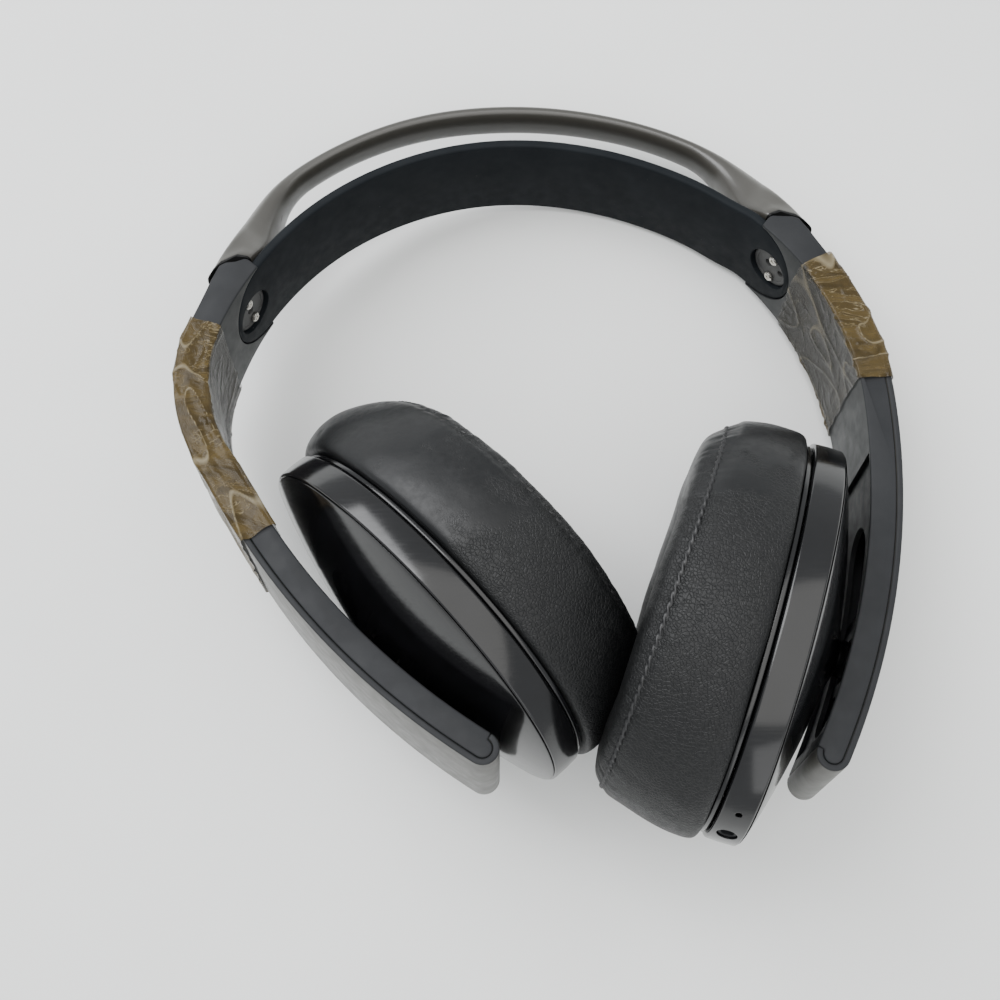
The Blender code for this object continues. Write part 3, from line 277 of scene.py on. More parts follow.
def packingTape():
    # biaxially oriented brown film with creases and trapped air, for amber gloss with milky streaks
    made, tree, shader = surface("brown_packing_film")
    where = addNode(tree, "TexCoord").outputs["Object"]
    crease = addNode(tree, "Attribute", attribute_name="crease").outputs["Fac"]
    inside = addNode(tree, "Attribute", attribute_name="innerFace").outputs["Fac"]
    drawn = addNode(
        tree, "Mapping", {"Vector": where, "Rotation": (0.5, 0.2, 0.9), "Scale": (70, 160, 40)}
    ).outputs["Vector"]
    sweep = addNode(
        tree, "TexNoise",
        {"Vector": drawn, "Scale": 1.0, "Detail": 4.0, "Roughness": 0.55, "Distortion": 1.6}
    ).outputs["Fac"]
    off = addNode(tree, "Math", {0: sweep, 1: 0.5}, operation="SUBTRACT").outputs["Value"]
    line = spread(
        tree, addNode(tree, "Math", {0: off}, operation="ABSOLUTE").outputs["Value"], 1, 0, 0.0, 0.012
    )
    some = addNode(
        tree, "Math", {0: line, 1: spread(tree, grain(tree, 60, 2), 0, 0.8, 0.45, 0.65)},
        operation="MULTIPLY"
    ).outputs["Value"]
    pale = addNode(
        tree, "Math", {0: some, 1: spread(tree, crease, 0, 0.85, 0.72, 1.0)}, operation="MAXIMUM"
    ).outputs["Value"]
    body = blendColour(tree, spread(tree, sweep, 0, 1, 0.35, 0.65), linear("#392f1b"), linear("#524529"))
    # painted shade: on the arm's inner faces the same film is painted darker and greyer, standing in for the
    # shade it sits in there
    innerFacePaintedShade = blendColour(tree, inside, body, linear("#33302a"))
    fill(tree, shader, {
        "Base Color": blendColour(tree, pale, innerFacePaintedShade, linear("#857b64")),
        "Roughness": spread(tree, grain(tree, 120, 3), 0.14, 0.3),
        "Alpha": spread(
            tree, addNode(tree, "Math", {0: sweep, 1: inside}, operation="SUBTRACT").outputs["Value"], 0.6,
            0.88, -0.5, 0.5
        ),
        "Specular IOR Level": 0.16,
        "Normal": bump(
            tree, addNode(tree, "Math", {0: off}, operation="ABSOLUTE").outputs["Value"], 1.2 * mm, 0.5
        ),
    })
    return made


def metal(name, colour, rough):
    # machined steel, for small bright glints
    made, tree, shader = surface(name)
    fill(tree, shader, {
        "Base Color": linear(colour),
        "Metallic": 1.0,
        "Roughness": spread(tree, grain(tree, 2500, 3), rough - 0.06, rough + 0.1),
        "Normal": bump(tree, grain(tree, 4000, 2), 0.003 * mm, 1.0, rounded(tree, 0.12 * mm)),
    })
    return made


def thread():
    # twisted polyester cord under the skin, for small repeated glints along the seam
    made, tree, shader = surface("waxed_black_piping")
    fill(tree, shader, {
        "Base Color": blendColour(tree, grain(tree, 900, 3), linear("#0b0b0c"), linear("#1c1c1e")),
        "Roughness": 0.45,
        "Normal": bump(tree, grain(tree, 3000, 2), 0.02 * mm),
    })
    return made


bandPlastic = smokedPlastic()
rubber = strapRubber()
gloss = glossPlastic()
leather = fauxLeather("black_coated_faux_leather")
tapeFilm = packingTape()
steel = metal("machined_steel", "#c9c6bf", 0.28)
blued = metal("blued_spring_steel", "#4c505a", 0.35)
piping = thread()
seamBlack = mouldedPlastic("black_joint_line", "#070707", "#0c0c0c", 0.4, 0.2 * mm, 0.004 * mm)
lens = mouldedPlastic("frosted_light_guide", "#b9bab8", "#cdcdcb", 0.45, 0.1 * mm, 0.004 * mm)
boardGreen = mouldedPlastic("solder_masked_board", "#0d3a22", "#134a2c", 0.4, 0.3 * mm, 0.01 * mm)
foilSilver = mouldedPlastic("battery_laminate_foil", "#9b9ca0", "#b0b1b4", 0.4, 0.4 * mm, 0.02 * mm)
clothBlack = mouldedPlastic("woven_speaker_cloth", "#0c0c0c", "#151515", 0.9, 0.4 * mm, 0.12 * mm)
print("materials made")


# building helpers

def settle(name, shape, looks, body, replaced=(), place=None, smooth=35):
    # a bmesh becomes a piece at the origin, unturned, riding its body
    if place is not None:
        bmesh.ops.transform(shape, matrix=place, verts=shape.verts)
    bmesh.ops.recalc_face_normals(shape, faces=shape.faces)
    mesh = bpy.data.meshes.new(name)
    shape.to_mesh(mesh)
    shape.free()
    for look in looks:
        mesh.materials.append(look)
    mesh.shade_smooth()
    mesh.set_sharp_from_angle(angle=smooth * deg)
    made = bpy.data.objects.new(name, mesh)
    bpy.context.scene.collection.objects.link(made)
    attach(made, body)
    if replaced:
        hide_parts(*replaced)
    return made


def bake(made, smooth=35):
    # modifiers become plain mesh
    bpy.context.view_layer.update()
    view = bpy.context.evaluated_depsgraph_get()
    mesh = bpy.data.meshes.new_from_object(made.evaluated_get(view))
    made.modifiers.clear()
    made.data = mesh
    mesh.shade_smooth()
    mesh.set_sharp_from_angle(angle=smooth * deg)
    return made


def cutter(name, shape, place=None):
    if place is not None:
        bmesh.ops.transform(shape, matrix=place, verts=shape.verts)
    bmesh.ops.recalc_face_normals(shape, faces=shape.faces)
    mesh = bpy.data.meshes.new(name)
    shape.to_mesh(mesh)
    shape.free()
    made = bpy.data.objects.new(name, mesh)
    bpy.context.scene.collection.objects.link(made)
    return made


def carve(made, cutters, bevelFirst=0.0, smooth=35):
    if bevelFirst:
        edge = made.modifiers.new("edge", "BEVEL")
        edge.width = bevelFirst
        edge.segments = 3
        edge.limit_method = "ANGLE"
        edge.angle_limit = 40 * deg
        edge.use_clamp_overlap = True
    for tool in cutters:
        step = made.modifiers.new(tool.name, "BOOLEAN")
        step.object = tool
        step.operation = "DIFFERENCE"
    bake(made, smooth)
    for tool in cutters:
        bpy.data.objects.remove(tool)
    return made


def between(start, end, count):
    return [start + (end - start) * i / count for i in range(count + 1)]


def loftShape(sections, closed=True, caps=True):
    shape = bmesh.new()
    rings = [[shape.verts.new(point) for point in section] for section in sections]
    count = len(rings[0])
    last = count if closed else count - 1
    for ring, following in zip(rings, rings[1:]):
        for i in range(last):
            after = (i + 1) % count
            shape.faces.new((ring[i], ring[after], following[after], following[i]))
    if caps:
        shape.faces.new(rings[0])
        shape.faces.new(rings[-1])
    return shape


def prism(outline, low, high):
    shape = bmesh.new()
    base = shape.faces.new([shape.verts.new((x, y, low)) for x, y in outline])
    bmesh.ops.recalc_face_normals(shape, faces=[base])
    raised = bmesh.ops.extrude_face_region(shape, geom=[base])
    top = [item for item in raised["geom"] if isinstance(item, bmesh.types.BMVert)]
    bmesh.ops.translate(shape, verts=top, vec=(0, 0, high - low))
    return shape


def drum(radius, low, high, around=32):
    shape = bmesh.new()
    bmesh.ops.create_cone(
        shape, cap_ends=True, segments=around, radius1=radius, radius2=radius, depth=high - low
    )
    bmesh.ops.translate(shape, verts=shape.verts, vec=(0, 0, (low + high) / 2))
    return shape


def curveThrough(table, x):
    # smooth through the pairs, level at both ends
    index = max(i for i, pair in enumerate(table[:-1]) if pair[0] <= x or i == 0)
    (x0, y0), (x1, y1) = table[index], table[index + 1]
    before, after = table[max(index - 1, 0)], table[min(index + 2, len(table) - 1)]
    span = x1 - x0
    rise0 = span * (y1 - before[1]) / (x1 - before[0]) if index > 0 else 0
    rise1 = span * (after[1] - y0) / (after[0] - x0) if index + 2 < len(table) else 0
    t = (x - x0) / span
    ends = y0 * (2 * t**3 - 3 * t**2 + 1) + y1 * (3 * t**2 - 2 * t**3)
    return ends + rise0 * (t**3 - 2 * t**2 + t) + rise1 * (t**3 - t**2)


# the arm's line, the same on both sides until the broken left one leans in

arm = {
    "strapRadius": 91.7 * mm, "thick": 8.7 * mm, "width": 39.0 * mm, "topWidth": 33.0 * mm, "flareTop": 36 * deg,
    "flareLow": 5 * deg, "turn": -3.4 * deg, "lowerRadius": 198.4 * mm, "end": -32.3 * deg, "cover": 1.7 * mm,
    "coverTop": 21 * deg, "swellFrom": 24 * deg, "swell": 2.7 * mm, "seam": 36 * deg,
}
bend = {
    "lean": {"left": 20 * deg, "right": 0}, "top": 26 * deg, "low": -6 * deg,
    "hinge": (71.3 * mm, 24.5 * mm)
}
lowerCentre = (arm["strapRadius"] - arm["lowerRadius"]) * Vector(
    (math.cos(arm["turn"]), math.sin(arm["turn"]))
)


def armPoint(side, angle, depth):
    if angle >= arm["turn"]:
        centre, radius = Vector((0, 0)), arm["strapRadius"] + depth
    else:
        centre, radius = lowerCentre, arm["lowerRadius"] + depth
    place = centre + radius * Vector((math.cos(angle), math.sin(angle)))
    share = min(1, max(0, (bend["top"] - angle) / (bend["top"] - bend["low"])))
    lean = -bend["lean"][side] * share * share * (3 - 2 * share)
    hinge = Vector(bend["hinge"])
    place = hinge + Matrix.Rotation(lean, 2) @ (place - hinge)
    if side == "left":
        place.x = -place.x
    return place


def armArc(side, depth, start, end, swell=0.0, step=1.0):
    count = max(2, round(abs(end - start) / (step * deg)))
    points = []
    for angle in between(start, end, count):
        share = max(0, (angle - arm["swellFrom"]) / (arm["seam"] - arm["swellFrom"]))
        points.append(armPoint(side, angle, depth + swell * share * share))
    return points


def tipArc(side, radius, start, end, middle=None, count=16):
    middle = arm["thick"] / 2 if middle is None else middle
    points = []
    for turn in between(start, end, count):
        depth = middle + radius * math.cos(turn)
        points.append(armPoint(side, arm["end"] - radius * math.sin(turn) / arm["lowerRadius"], depth))
    return points


def flare(shape):
    # narrows the arm towards the crown
    for vert in shape.verts:
        angle = math.atan2(vert.co.y, abs(vert.co.x))
        share = min(1, max(0, (angle - arm["flareLow"]) / (arm["flareTop"] - arm["flareLow"])))
        vert.co.z -= math.copysign((arm["width"] - arm["topWidth"]) / 2 * share, vert.co.z)
    return shape


def armFrame(side, angle, depth=3.9 * mm):
    place = armPoint(side, angle, depth)
    inward = (armPoint(side, angle, 0) - place).normalized().to_3d()
    up = Vector((inward.y, -inward.x, 0))
    if up.dot((armPoint(side, angle + deg, depth) - place).to_3d()) < 0:
        up = -up
    turn = Matrix((up, inward.cross(up), inward)).transposed().to_4x4()
    return Matrix.Translation(place.to_3d()) @ turn


def stadium(length, width, count=16):
    points = []
    for end in (1, -1):
        for turn in between(-math.pi / 2, math.pi / 2, count):
            points.append(
                (
                    end * ((length - width) / 2 + math.cos(turn) * width / 2),
                    end * math.sin(turn) * width / 2
                )
            )
    return points


strap = {
    "radius": 91.7 * mm, "thick": 3.0 * mm, "half": 15.5 * mm, "end": 26.8 * deg, "edge": 0.7 * mm,
    "anchor": 32.5 * deg, "anchorRadius": 6.75 * mm, "seat": 0.3 * mm,
    "sag": [
        (0, 0), (38, 0), (44, 1.4), (50, 1.9), (60, 2.6), (70, 2.75), (80, 2.4), (90, 1.8), (100, 1.25),
        (112, 0.7), (124, 0.2), (134, 0), (180, 0)
    ],
}


def strapShape(grow=0.0, edge=0.0):
    # half-round ends; grow makes the pocket that it lies in
    half = strap["half"] + grow
    end = strap["end"] - grow / strap["radius"]
    reach = [half * (1 - math.cos(turn)) for turn in between(0, math.pi / 2, 18)[1:]]
    start = end + reach[-1] / strap["radius"]
    angles = [end + 0.02 * mm / strap["radius"]] + [end + r / strap["radius"] for r in reach[:-1]]
    angles += between(start, math.pi - start, 150)
    angles += [math.pi - angle for angle in reversed(angles[: len(reach)])]
    sections = []
    for angle in angles:
        along = min(angle - end, math.pi - end - angle) * strap["radius"]
        wide = half if along >= half else max(0.6 * mm, math.sqrt(half * half - (half - along) ** 2))
        x, y = math.cos(angle), math.sin(angle)
        inner = strap["radius"] - (2 * mm if grow else curveThrough(strap["sag"], angle / deg) * mm)
        outer = strap["thick"] + (strap["radius"] + grow if grow else inner)
        ring = [(inner, -wide), (outer, -wide), (outer, wide), (inner, wide)]
        if edge:
            ring = [
                (inner, -wide + edge), (inner + edge * 0.3, -wide + edge * 0.3), (inner + edge, -wide),
                (outer - edge, -wide), (outer, -wide + edge), (outer, wide - edge), (outer - edge, wide),
                (inner + edge, wide), (inner + edge * 0.3, wide - edge * 0.3), (inner, wide - edge),
            ]
        sections.append([(r * x, r * y, z) for r, z in ring])
    return loftShape(sections)


def radialFrame(angle, radius):
    inward = Vector((-math.cos(angle), -math.sin(angle), 0))
    across = Vector((0, 0, 1))
    turn = Matrix((across.cross(inward), across, inward)).transposed().to_4x4()
    return Matrix.Translation(-inward * radius) @ turn


slot = {
    "top": -8.3 * deg, "low": -31 * deg, "depth": 1.2 * mm, "margin": 1.1 * mm, "window": -21.3 * deg,
    "length": 61 * mm, "width": 19.6 * mm
}


def buildArm(side):
    seat = arm["thick"] - arm["cover"] - 0.12 * mm
    half = arm["width"] / 2
    nib = (seat - arm["cover"] - 0.12 * mm) / 2
    crest = [
        (share, arm["seam"] + curveThrough(band["seamCurve"], share) * deg) for share in between(0, 1, 8)
    ]
    outline = armArc(side, 0, crest[0][1], arm["end"] + 0.1 * mm / arm["lowerRadius"])
    outline += tipArc(side, nib, math.pi, 0)
    outline += armArc(side, seat, arm["end"], arm["coverTop"])[1:]
    outline += armArc(side, arm["thick"] - 0.1 * mm, arm["coverTop"], crest[-1][1], arm["swell"])
    for share, angle in reversed(crest[1:-1]):
        outline.append(armPoint(side, angle, share * (arm["thick"] + arm["swell"] - 0.1 * mm)))
    shell = settle(
        f"moulded_arm_{side}", flare(prism(outline, -half, half)), [sandPlastic, facePlastic, scoopPlastic],
        "frame", [f"arm_shell_{side}"]
    )
    recess = armArc(side, -1 * mm, slot["top"], slot["low"])
    recess += armArc(side, slot["depth"], slot["low"], slot["top"] + 1.4 * mm / arm["lowerRadius"])
    inside = half - slot["margin"]
    cavity = armArc(side, 2.6 * mm, 13 * deg, -30.5 * deg) + armArc(
        side, seat - 0.35 * mm, -30.5 * deg, 13 * deg
    )
    tools = [
        cutter("recess", prism(recess, -inside, inside)),
        cutter("hollow", flare(prism(cavity, -half + 2.2 * mm, half - 2.2 * mm))),
        cutter(
            "window", prism(stadium(slot["length"], slot["width"]), -1.2 * mm, 9 * mm),
            armFrame(side, slot["window"])
        ),
        cutter("pocket", strapShape(strap["seat"])),
    ]
    carve(shell, tools, 0.5 * mm)
    paintArm(shell, side)
    shell.data.transform(lie)
    cover = armArc(
        side, arm["thick"], arm["coverTop"], arm["end"]
    ) + tipArc(side, arm["thick"] / 2, 0, math.pi)[1:]
    cover += tipArc(side, arm["thick"] / 2 - arm["cover"], math.pi, 0)
    cover += armArc(side, arm["thick"] - arm["cover"], arm["end"], arm["coverTop"])[1:]
    skin = settle(
        f"arm_cover_skin_{side}", flare(prism(cover, -half, half)), [coverPlastic, sandPlastic], "frame",
        [f"arm_cover_{side}"]
    )
    carve(skin, [], 0.45 * mm)
    for face in skin.data.polygons:
        face.material_index = int(abs(face.normal.z) > 0.6)
    skin.data.transform(lie)


def paintArm(shell, side):
    # the edges keep the sand texture, the ear-side face is satin and its recess is glossier
    for face in shell.data.polygons:
        if abs(face.normal.z) > 0.5:
            continue
        centre = face.center
        flat = Vector((centre.x, centre.y))
        inner = min((flat - armPoint(side, angle * deg, slot["depth"])).length for angle in range(-33, -7))
        if inner < 0.6 * mm and abs(centre.z) < arm["width"] / 2 - slot["margin"]:
            face.material_index = 2
        else:
            face.material_index = 1


def keepLooks(names, look):
    for name in names:
        for place in nodes[name].material_slots:
            place.material = look


# outer band and strap

band = {
    "thick": 5.0 * mm, "width": 11.0 * mm, "clear": 13.2 * mm, "stations": 180, "around": 48,
    "bow": [
        (0, 0), (60, 0), (72, 0.15), (80, 0.6), (90, 1.4), (100, 2.3), (108, 2.6), (122, 2.5), (128, 2.0),
        (136, 0.6), (144, 0), (180, 0)
    ],
    "outerFall": [(0, 0), (0.66, 0), (0.77, 0.13), (0.87, 0.46), (0.95, 0.82), (1, 1)],
    "innerFall": [(0, 0), (0.6, 0), (0.71, 0.2), (0.8, 0.6), (0.88, 0.92), (1, 1)],
    "flare": [(0, 0), (0.64, 0), (0.75, 0.12), (0.86, 0.46), (0.94, 0.82), (1, 1)],
    "seamCurve": [(0, 0.4), (0.35, 0.8), (0.65, 0.0), (0.85, -2.2), (1, -5.5)],
}


def bandRing(angle):
    way = min(1, abs(angle - math.pi / 2) / (math.pi / 2 - arm["seam"]))
    back = strap["radius"] + strap["thick"]
    crown = back + band["clear"] + curveThrough(band["bow"], angle / deg) * mm
    low = back + 0.3 * mm - curveThrough(strap["sag"], angle / deg) * mm
    inner = crown + (low - crown) * curveThrough(band["innerFall"], way)
    crown += band["thick"]
    outer = crown + (
        strap["radius"] + arm["thick"] - 0.1 * mm + arm["swell"] - crown
    ) * curveThrough(band["outerFall"], way)
    half = (band["width"] + (arm["topWidth"] - band["width"]) * curveThrough(band["flare"], way)) / 2
    power = 2 / (2.4 + 7.6 * curveThrough(band["flare"], way) ** 2)
    ring = []
    for turn in between(0, 2 * math.pi, band["around"])[:-1]:
        c, s = math.cos(turn), math.sin(turn)
        radius = (inner + outer) / 2 + math.copysign(abs(c) ** power, c) * (outer - inner) / 2
        share = min(1, max(0, (radius - strap["radius"]) / (arm["thick"] + arm["swell"])))
        shift = curveThrough(band["seamCurve"], share) * deg * max(0, (way - 0.88) / 0.12) ** 2
        here = angle + (shift if angle < math.pi / 2 else -shift)
        ring.append(
            (radius * math.cos(here), radius * math.sin(here), math.copysign(abs(s) ** power, s) * half)
        )
    return ring


def buildBand():
    # its ends curve round the arms' shoulders, so the joint line bows towards the crown
    sections = []
    end = arm["seam"] + 0.15 * mm / strap["radius"]
    for angle in between(end, math.pi - end, band["stations"]):
        sections.append(bandRing(angle))
    settle("smoked_outer_band", loftShape(sections), [bandPlastic], "frame", ["outer_band"], lie, 50)
    for side in sides:
        first = arm["seam"] + 0.05 * deg
        rings = []
        for angle in (first, first + 0.55 * deg):
            angle = angle if side == "right" else math.pi - angle
            middle = Vector((math.cos(angle), math.sin(angle), 0)) * (
                strap["radius"] + (arm["thick"] + arm["swell"]) / 2
            )
            rings.append([middle + (Vector(point) - middle) * 1.012 for point in bandRing(angle)])
        settle(f"band_joint_line_{side}", loftShape(rings), [seamBlack], "frame", (), lie)


def buildStrap():
    strip = settle(
        "inner_strap_skin", strapShape(0, strap["edge"]), [rubber], "frame", ["inner_strap"], None, 50
    )
    holes = []
    for side in sides:
        angle = strap["anchor"] if side == "right" else math.pi - strap["anchor"]
        holes.append(
            cutter(
                "anchor_hole", drum(strap["anchorRadius"] + 0.35 * mm, -1 * mm, 5 * mm, 64),
                radialFrame(angle, strap["radius"] + strap["thick"])
            )
        )
    carve(strip, holes, 0, 50)
    strip.data.transform(lie)
    for side in sides:
        buildAnchor(side)


anchor = {
    "thick": 1.7 * mm, "low": 0.15 * mm, "step": 0.35 * mm, "head": 1.5 * mm, "screws": {
        "left": ((-0.6, 4.2), (0.4, -4.4)), "right": ((0.6, 4.3), (0.6, -4.3))
    },
    "left": [(-0.2, -0.2, 1.25)], "right": [(-1.2, 0.8, 1.3), (3.9, 0.6, 1.1)],
}


def buildAnchor(side):
    angle = strap["anchor"] if side == "right" else math.pi - strap["anchor"]
    place = lie @ radialFrame(angle, strap["radius"] + strap["thick"])
    r, t, low = strap["anchorRadius"], anchor["thick"], anchor["low"]
    profile = [
        (0, low), (r, low), (r, low + t - 0.3 * mm), (r - 0.3 * mm, low + t), (r - 1.1 * mm, low + t),
        (r - 1.3 * mm, low + t - anchor["step"]), (0, low + t - anchor["step"])
    ]
    disc = settle(
        f"anchor_disc_{side}", turnedShape(profile, 64), [anchorPlastic, seamBlack], "frame",
        [f"strap_anchor_{side}"], None, 30
    )
    tools = []
    for along, across, radius in anchor[side]:
        spot = Matrix.Translation((along * mm, across * mm, 0))
        tools.append(cutter("eye", drum(radius * mm, low + 0.4 * mm, 5 * mm, 24), spot))
    carve(disc, tools, 0, 30)
    disc.data.transform(place)
    for number, (along, across) in enumerate(anchor["screws"][side], 1):
        top = low + t + 0.05 * mm
        h = anchor["head"]
        head = [
            (0, top + 0.3 * mm), (h * 0.45, top + 0.3 * mm), (h * 0.5, top + 0.72 * mm),
            (h * 0.75, top + 0.75 * mm), (h, top + 0.45 * mm), (h, top - 0.2 * mm),
            (0.8 * mm, top - 0.2 * mm), (0.8 * mm, top - 1.2 * mm), (0, top - 1.2 * mm)
        ]
        spot = place @ Matrix.Translation((along * mm, across * mm, 0))
        settle(
            f"socket_screw_{side}_{number}", turnedShape(head, 6 * 6), [steel], "frame",
            [f"strap_screw_{side}_{number}"], spot, 30
        )


def turnedShape(profile, around=48, closed=False):
    shape = bmesh.new()
    verts = [shape.verts.new((radius, 0, height)) for radius, height in profile]
    edges = [shape.edges.new(pair) for pair in zip(verts, verts[1:])]
    if closed:
        edges.append(shape.edges.new((verts[-1], verts[0])))
    bmesh.ops.spin(
        shape, geom=verts + edges, axis=(0, 0, 1), cent=(0, 0, 0), angle=2 * math.pi, steps=around
    )
    bmesh.ops.remove_doubles(shape, verts=shape.verts, dist=0.001 * mm)
    bmesh.ops.dissolve_degenerate(shape, edges=shape.edges, dist=0.001 * mm)
    return shape


for side in sides:
    buildArm(side)
buildBand()
buildStrap()
print("arms, band and strap built")


# cups

cup = {
    "long": 56.2 * mm, "short": 42 * mm, "back": 17.4 * mm, "rim": 8.6 * mm, "wall": 2.3 * mm,
    "depth": 11.6 * mm, "neck": 3.9 * mm, "flare": 7.5 * mm
}
stretch = cup["long"] - cup["short"]


def cupFrame(side):
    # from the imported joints: X up the arm along the tilt axis, Z towards the ear
    tilt = joints[f"{side}_cup_tilt"]
    up = Vector(tilt["axis"])
    across = Vector(joints[f"{side}_cup_swivel"]["axis"])
    lean = {"left": 3 * deg, "right": 1.5 * deg}[side]
    across = -across if side == "left" else across
    y = across if side == "left" else -across
    z = up.cross(y)
    turned = Matrix((up, y, z)).transposed() @ Matrix.Rotation(lean, 3, "X")
    return Matrix.Translation(tilt["pos_m"]) @ turned.to_4x4()


def ovalShape(profile, around=160, closed=True):
    shape = turnedShape(profile, around, closed)
    for vert in shape.verts:
        radius = math.hypot(vert.co.x, vert.co.y)
        if radius > 0:
            vert.co.x += stretch * min(1, radius / cup["short"]) * vert.co.x / radius
    return shape


def rimPlace(turn, height):
    place = Vector((cup["long"] * math.cos(turn), cup["short"] * math.sin(turn), cup["back"] + height))
    outward = Vector((math.cos(turn) / cup["long"], math.sin(turn) / cup["short"], 0)).normalized()
    ear = Vector((0, 0, 1))
    return Matrix.Translation(place) @ Matrix((ear.cross(outward), ear, outward)).transposed().to_4x4()


def arcProfile(centre, radius, start, end, count=6):
    return [
        (
            centre[0] + radius * math.cos(turn), centre[1] + radius * math.sin(turn)
        ) for turn in between(start, end, count)
    ]


def buildShells(side, place):
    back, rim = cup["back"], cup["rim"]
    outer, inner = cup["short"], cup["short"] - cup["wall"]
    soft = 0.9 * mm
    # the rim stands a little proud at its back edge, where the cone tucks under it
    profile = arcProfile(
        (outer - soft, back + rim - soft), soft, math.pi / 2, 0
    ) + [(outer + 0.12 * mm, back + rim * 0.5)]
    profile += arcProfile((outer - soft * 0.7, back + soft * 0.7), soft * 0.7, 0, -math.pi / 2)
    profile += [
        (inner, back), (inner, back + 3.6 * mm), (inner - 2.6 * mm, back + 3.6 * mm),
        (inner - 2.6 * mm, back + 5.4 * mm), (inner, back + 5.4 * mm), (inner, back + rim)
    ]
    shell = settle(
        f"gloss_rim_{side}", ovalShape(profile), [gloss], f"cup_{side}", [f"cup_rim_{side}"], None, 40
    )
    tools = []
    if side == "right":
        for turn in (-14 * deg, -158 * deg):
            tools.append(cutter("mic_hole", drum(0.9 * mm, -4 * mm, 2 * mm, 24), rimPlace(turn, 3.9 * mm)))
        tools.append(
            cutter("jack_hole", drum(2.75 * mm, -9 * mm, 3 * mm, 32), rimPlace(-172 * deg, rim / 2))
        )
        for name, (turn, length, wide) in controls.items():
            box = bmesh.new()
            bmesh.ops.create_cube(box, size=1)
            bmesh.ops.scale(box, verts=box.verts, vec=(length, wide, 7 * mm))
            tools.append(cutter(name, box, rimPlace(turn, rim / 2)))
    carve(shell, tools, 0, 40)
    shell.data.transform(place)
    # a shallow dish, fuller near the rim than a straight cone
    dish = [
        (cup["neck"], -1.5 * mm), (cup["neck"], back - cup["depth"] - 1.6 * mm),
        (cup["flare"], back - cup["depth"])
    ]
    for share in between(0, 1, 24)[1:]:
        radius = cup["flare"] + (outer - 0.9 * mm - cup["flare"]) * share
        dish.append(
            (radius, back - cup["depth"] + (cup["depth"] - 0.5 * mm) * (0.72 * share + 0.28 * share**2.6))
        )
    dish += [
        (outer - 0.5 * mm, back - 0.25 * mm), (inner - 0.3 * mm, back - 0.2 * mm),
        (inner - 0.3 * mm, back + 1.6 * mm), (inner - 2 * mm, back + 1.6 * mm)
    ]
    dish += [
        (inner - 2 * mm, back - 0.6 * mm), (cup["flare"], back - cup["depth"] + 2 * mm),
        (0, back - cup["depth"] + 2 * mm)
    ]
    dish = [(0, -1.5 * mm)] + dish
    cone = settle(
        f"gloss_back_{side}", ovalShape(dish, 160, False), [gloss], f"cup_{side}", [f"cup_back_{side}"],
        None, 40
    )
    pin = cutter("pin_hole", drum(1.2 * mm, -20 * mm, 20 * mm, 24), Matrix.Rotation(math.pi / 2, 4, "Y"))
    carve(cone, [pin], 0, 40)
    cone.data.transform(place)
    low = back + rim + 0.3 * mm
    edge = outer - 0.8 * mm
    ring = arcProfile((edge - 0.5 * mm, low + 1.1 * mm), 0.5 * mm, math.pi / 2, 0) + arcProfile(
        (edge - 0.5 * mm, low + 0.5 * mm), 0.5 * mm, 0, -math.pi / 2
    )
    ring += [(22.5 * mm, low), (22.5 * mm, low + 1.6 * mm)]
    settle(
        f"gloss_ring_{side}", ovalShape(ring), [gloss], f"cup_{side}", [f"cushion_ring_{side}"], place, 40
    )


controls = {
    "power_slider": (38 * deg, 8.1 * mm, 4.6 * mm),
    "surround_button": (60 * deg, 5.6 * mm, 4.6 * mm),
    "volume_rocker": (84 * deg, 11.6 * mm, 4.6 * mm),
    "chat_rocker": (110 * deg, 11.6 * mm, 4.6 * mm),
    "mute_button": (132 * deg, 5.6 * mm, 4.6 * mm),
    "usb_port": (152 * deg, 9.2 * mm, 3.8 * mm),
    "light_port": (22 * deg, 2.4 * mm, 2.4 * mm),
}

pad = {
    "left": {
        "seam": 36.6, "seamLean": 0.0, "crest": 40.2, "grainFrom": -8, "grainTo": 10, "seed": 5,
        "bulge": 3.6 * mm, "cord": -0.75 * mm
    },
    "right": {
        "seam": 34.3, "seamLean": 2.7, "crest": 39.6, "grainFrom": 22, "grainTo": 6, "seed": 9,
        "bulge": 1.0 * mm, "cord": -0.3 * mm
    },
}


def padPoint(side, turn, along):
    # along runs from the foot outside, over the seam and the roll, down into the ear's opening
    facts = pad[side]
    seam = facts["seam"] - facts["seamLean"] * math.cos(turn)
    crest = facts["crest"] - facts["seamLean"] * 0.5 * math.cos(turn)
    profile = [
        (40.2, 10.6), (42.6, 10.9), (43.9, 13.0), (44.6, 17.5), (44.7, 22.5), (44.4, 27.5),
        (43.6, seam - 2.6), (42.5, seam - 0.4), (41.9, seam + 0.7), (39.8, (seam + crest * 2) / 3 + 0.3),
        (36.0, crest - 0.2), (31.5, crest), (27.2, crest - 1.2), (23.6, crest - 4.2), (21.4, crest - 9.0),
        (20.8, 24.0), (20.9, 16.0), (21.6, 10.8),
    ]
    spot = along * (len(profile) - 1)
    index = min(int(spot), len(profile) - 2)
    t = spot - index
    p0, p1, p2, p3 = (
        Vector(profile[min(max(j, 0), len(profile) - 1)]) for j in (index - 1, index, index + 1, index + 2)
    )
    place = 0.5 * (
        2 * p1 + (p2 - p0) * t + (
            2 * p0 - 5 * p1 + 4 * p2 - p3
        ) * t * t + (3 * p1 - p0 - 3 * p2 + p3) * t**3
    )
    radius, height = place.x * mm, place.y * mm
    x = (radius + stretch * min(1, radius / cup["short"])) * math.cos(turn)
    x *= 1 - max(0, (place.y - 10.8) / 28.2) * 5.0 / 56.2
    # the crown end of the pad bulges between its foot and the seam
    x += facts["bulge"] * math.sin(
        math.pi * min(1, max(0, (place.y - 10.8) / 27))
    ) * max(0, math.cos(turn)) ** 3
    return Vector((x, radius * math.sin(turn), cup["back"] + height))


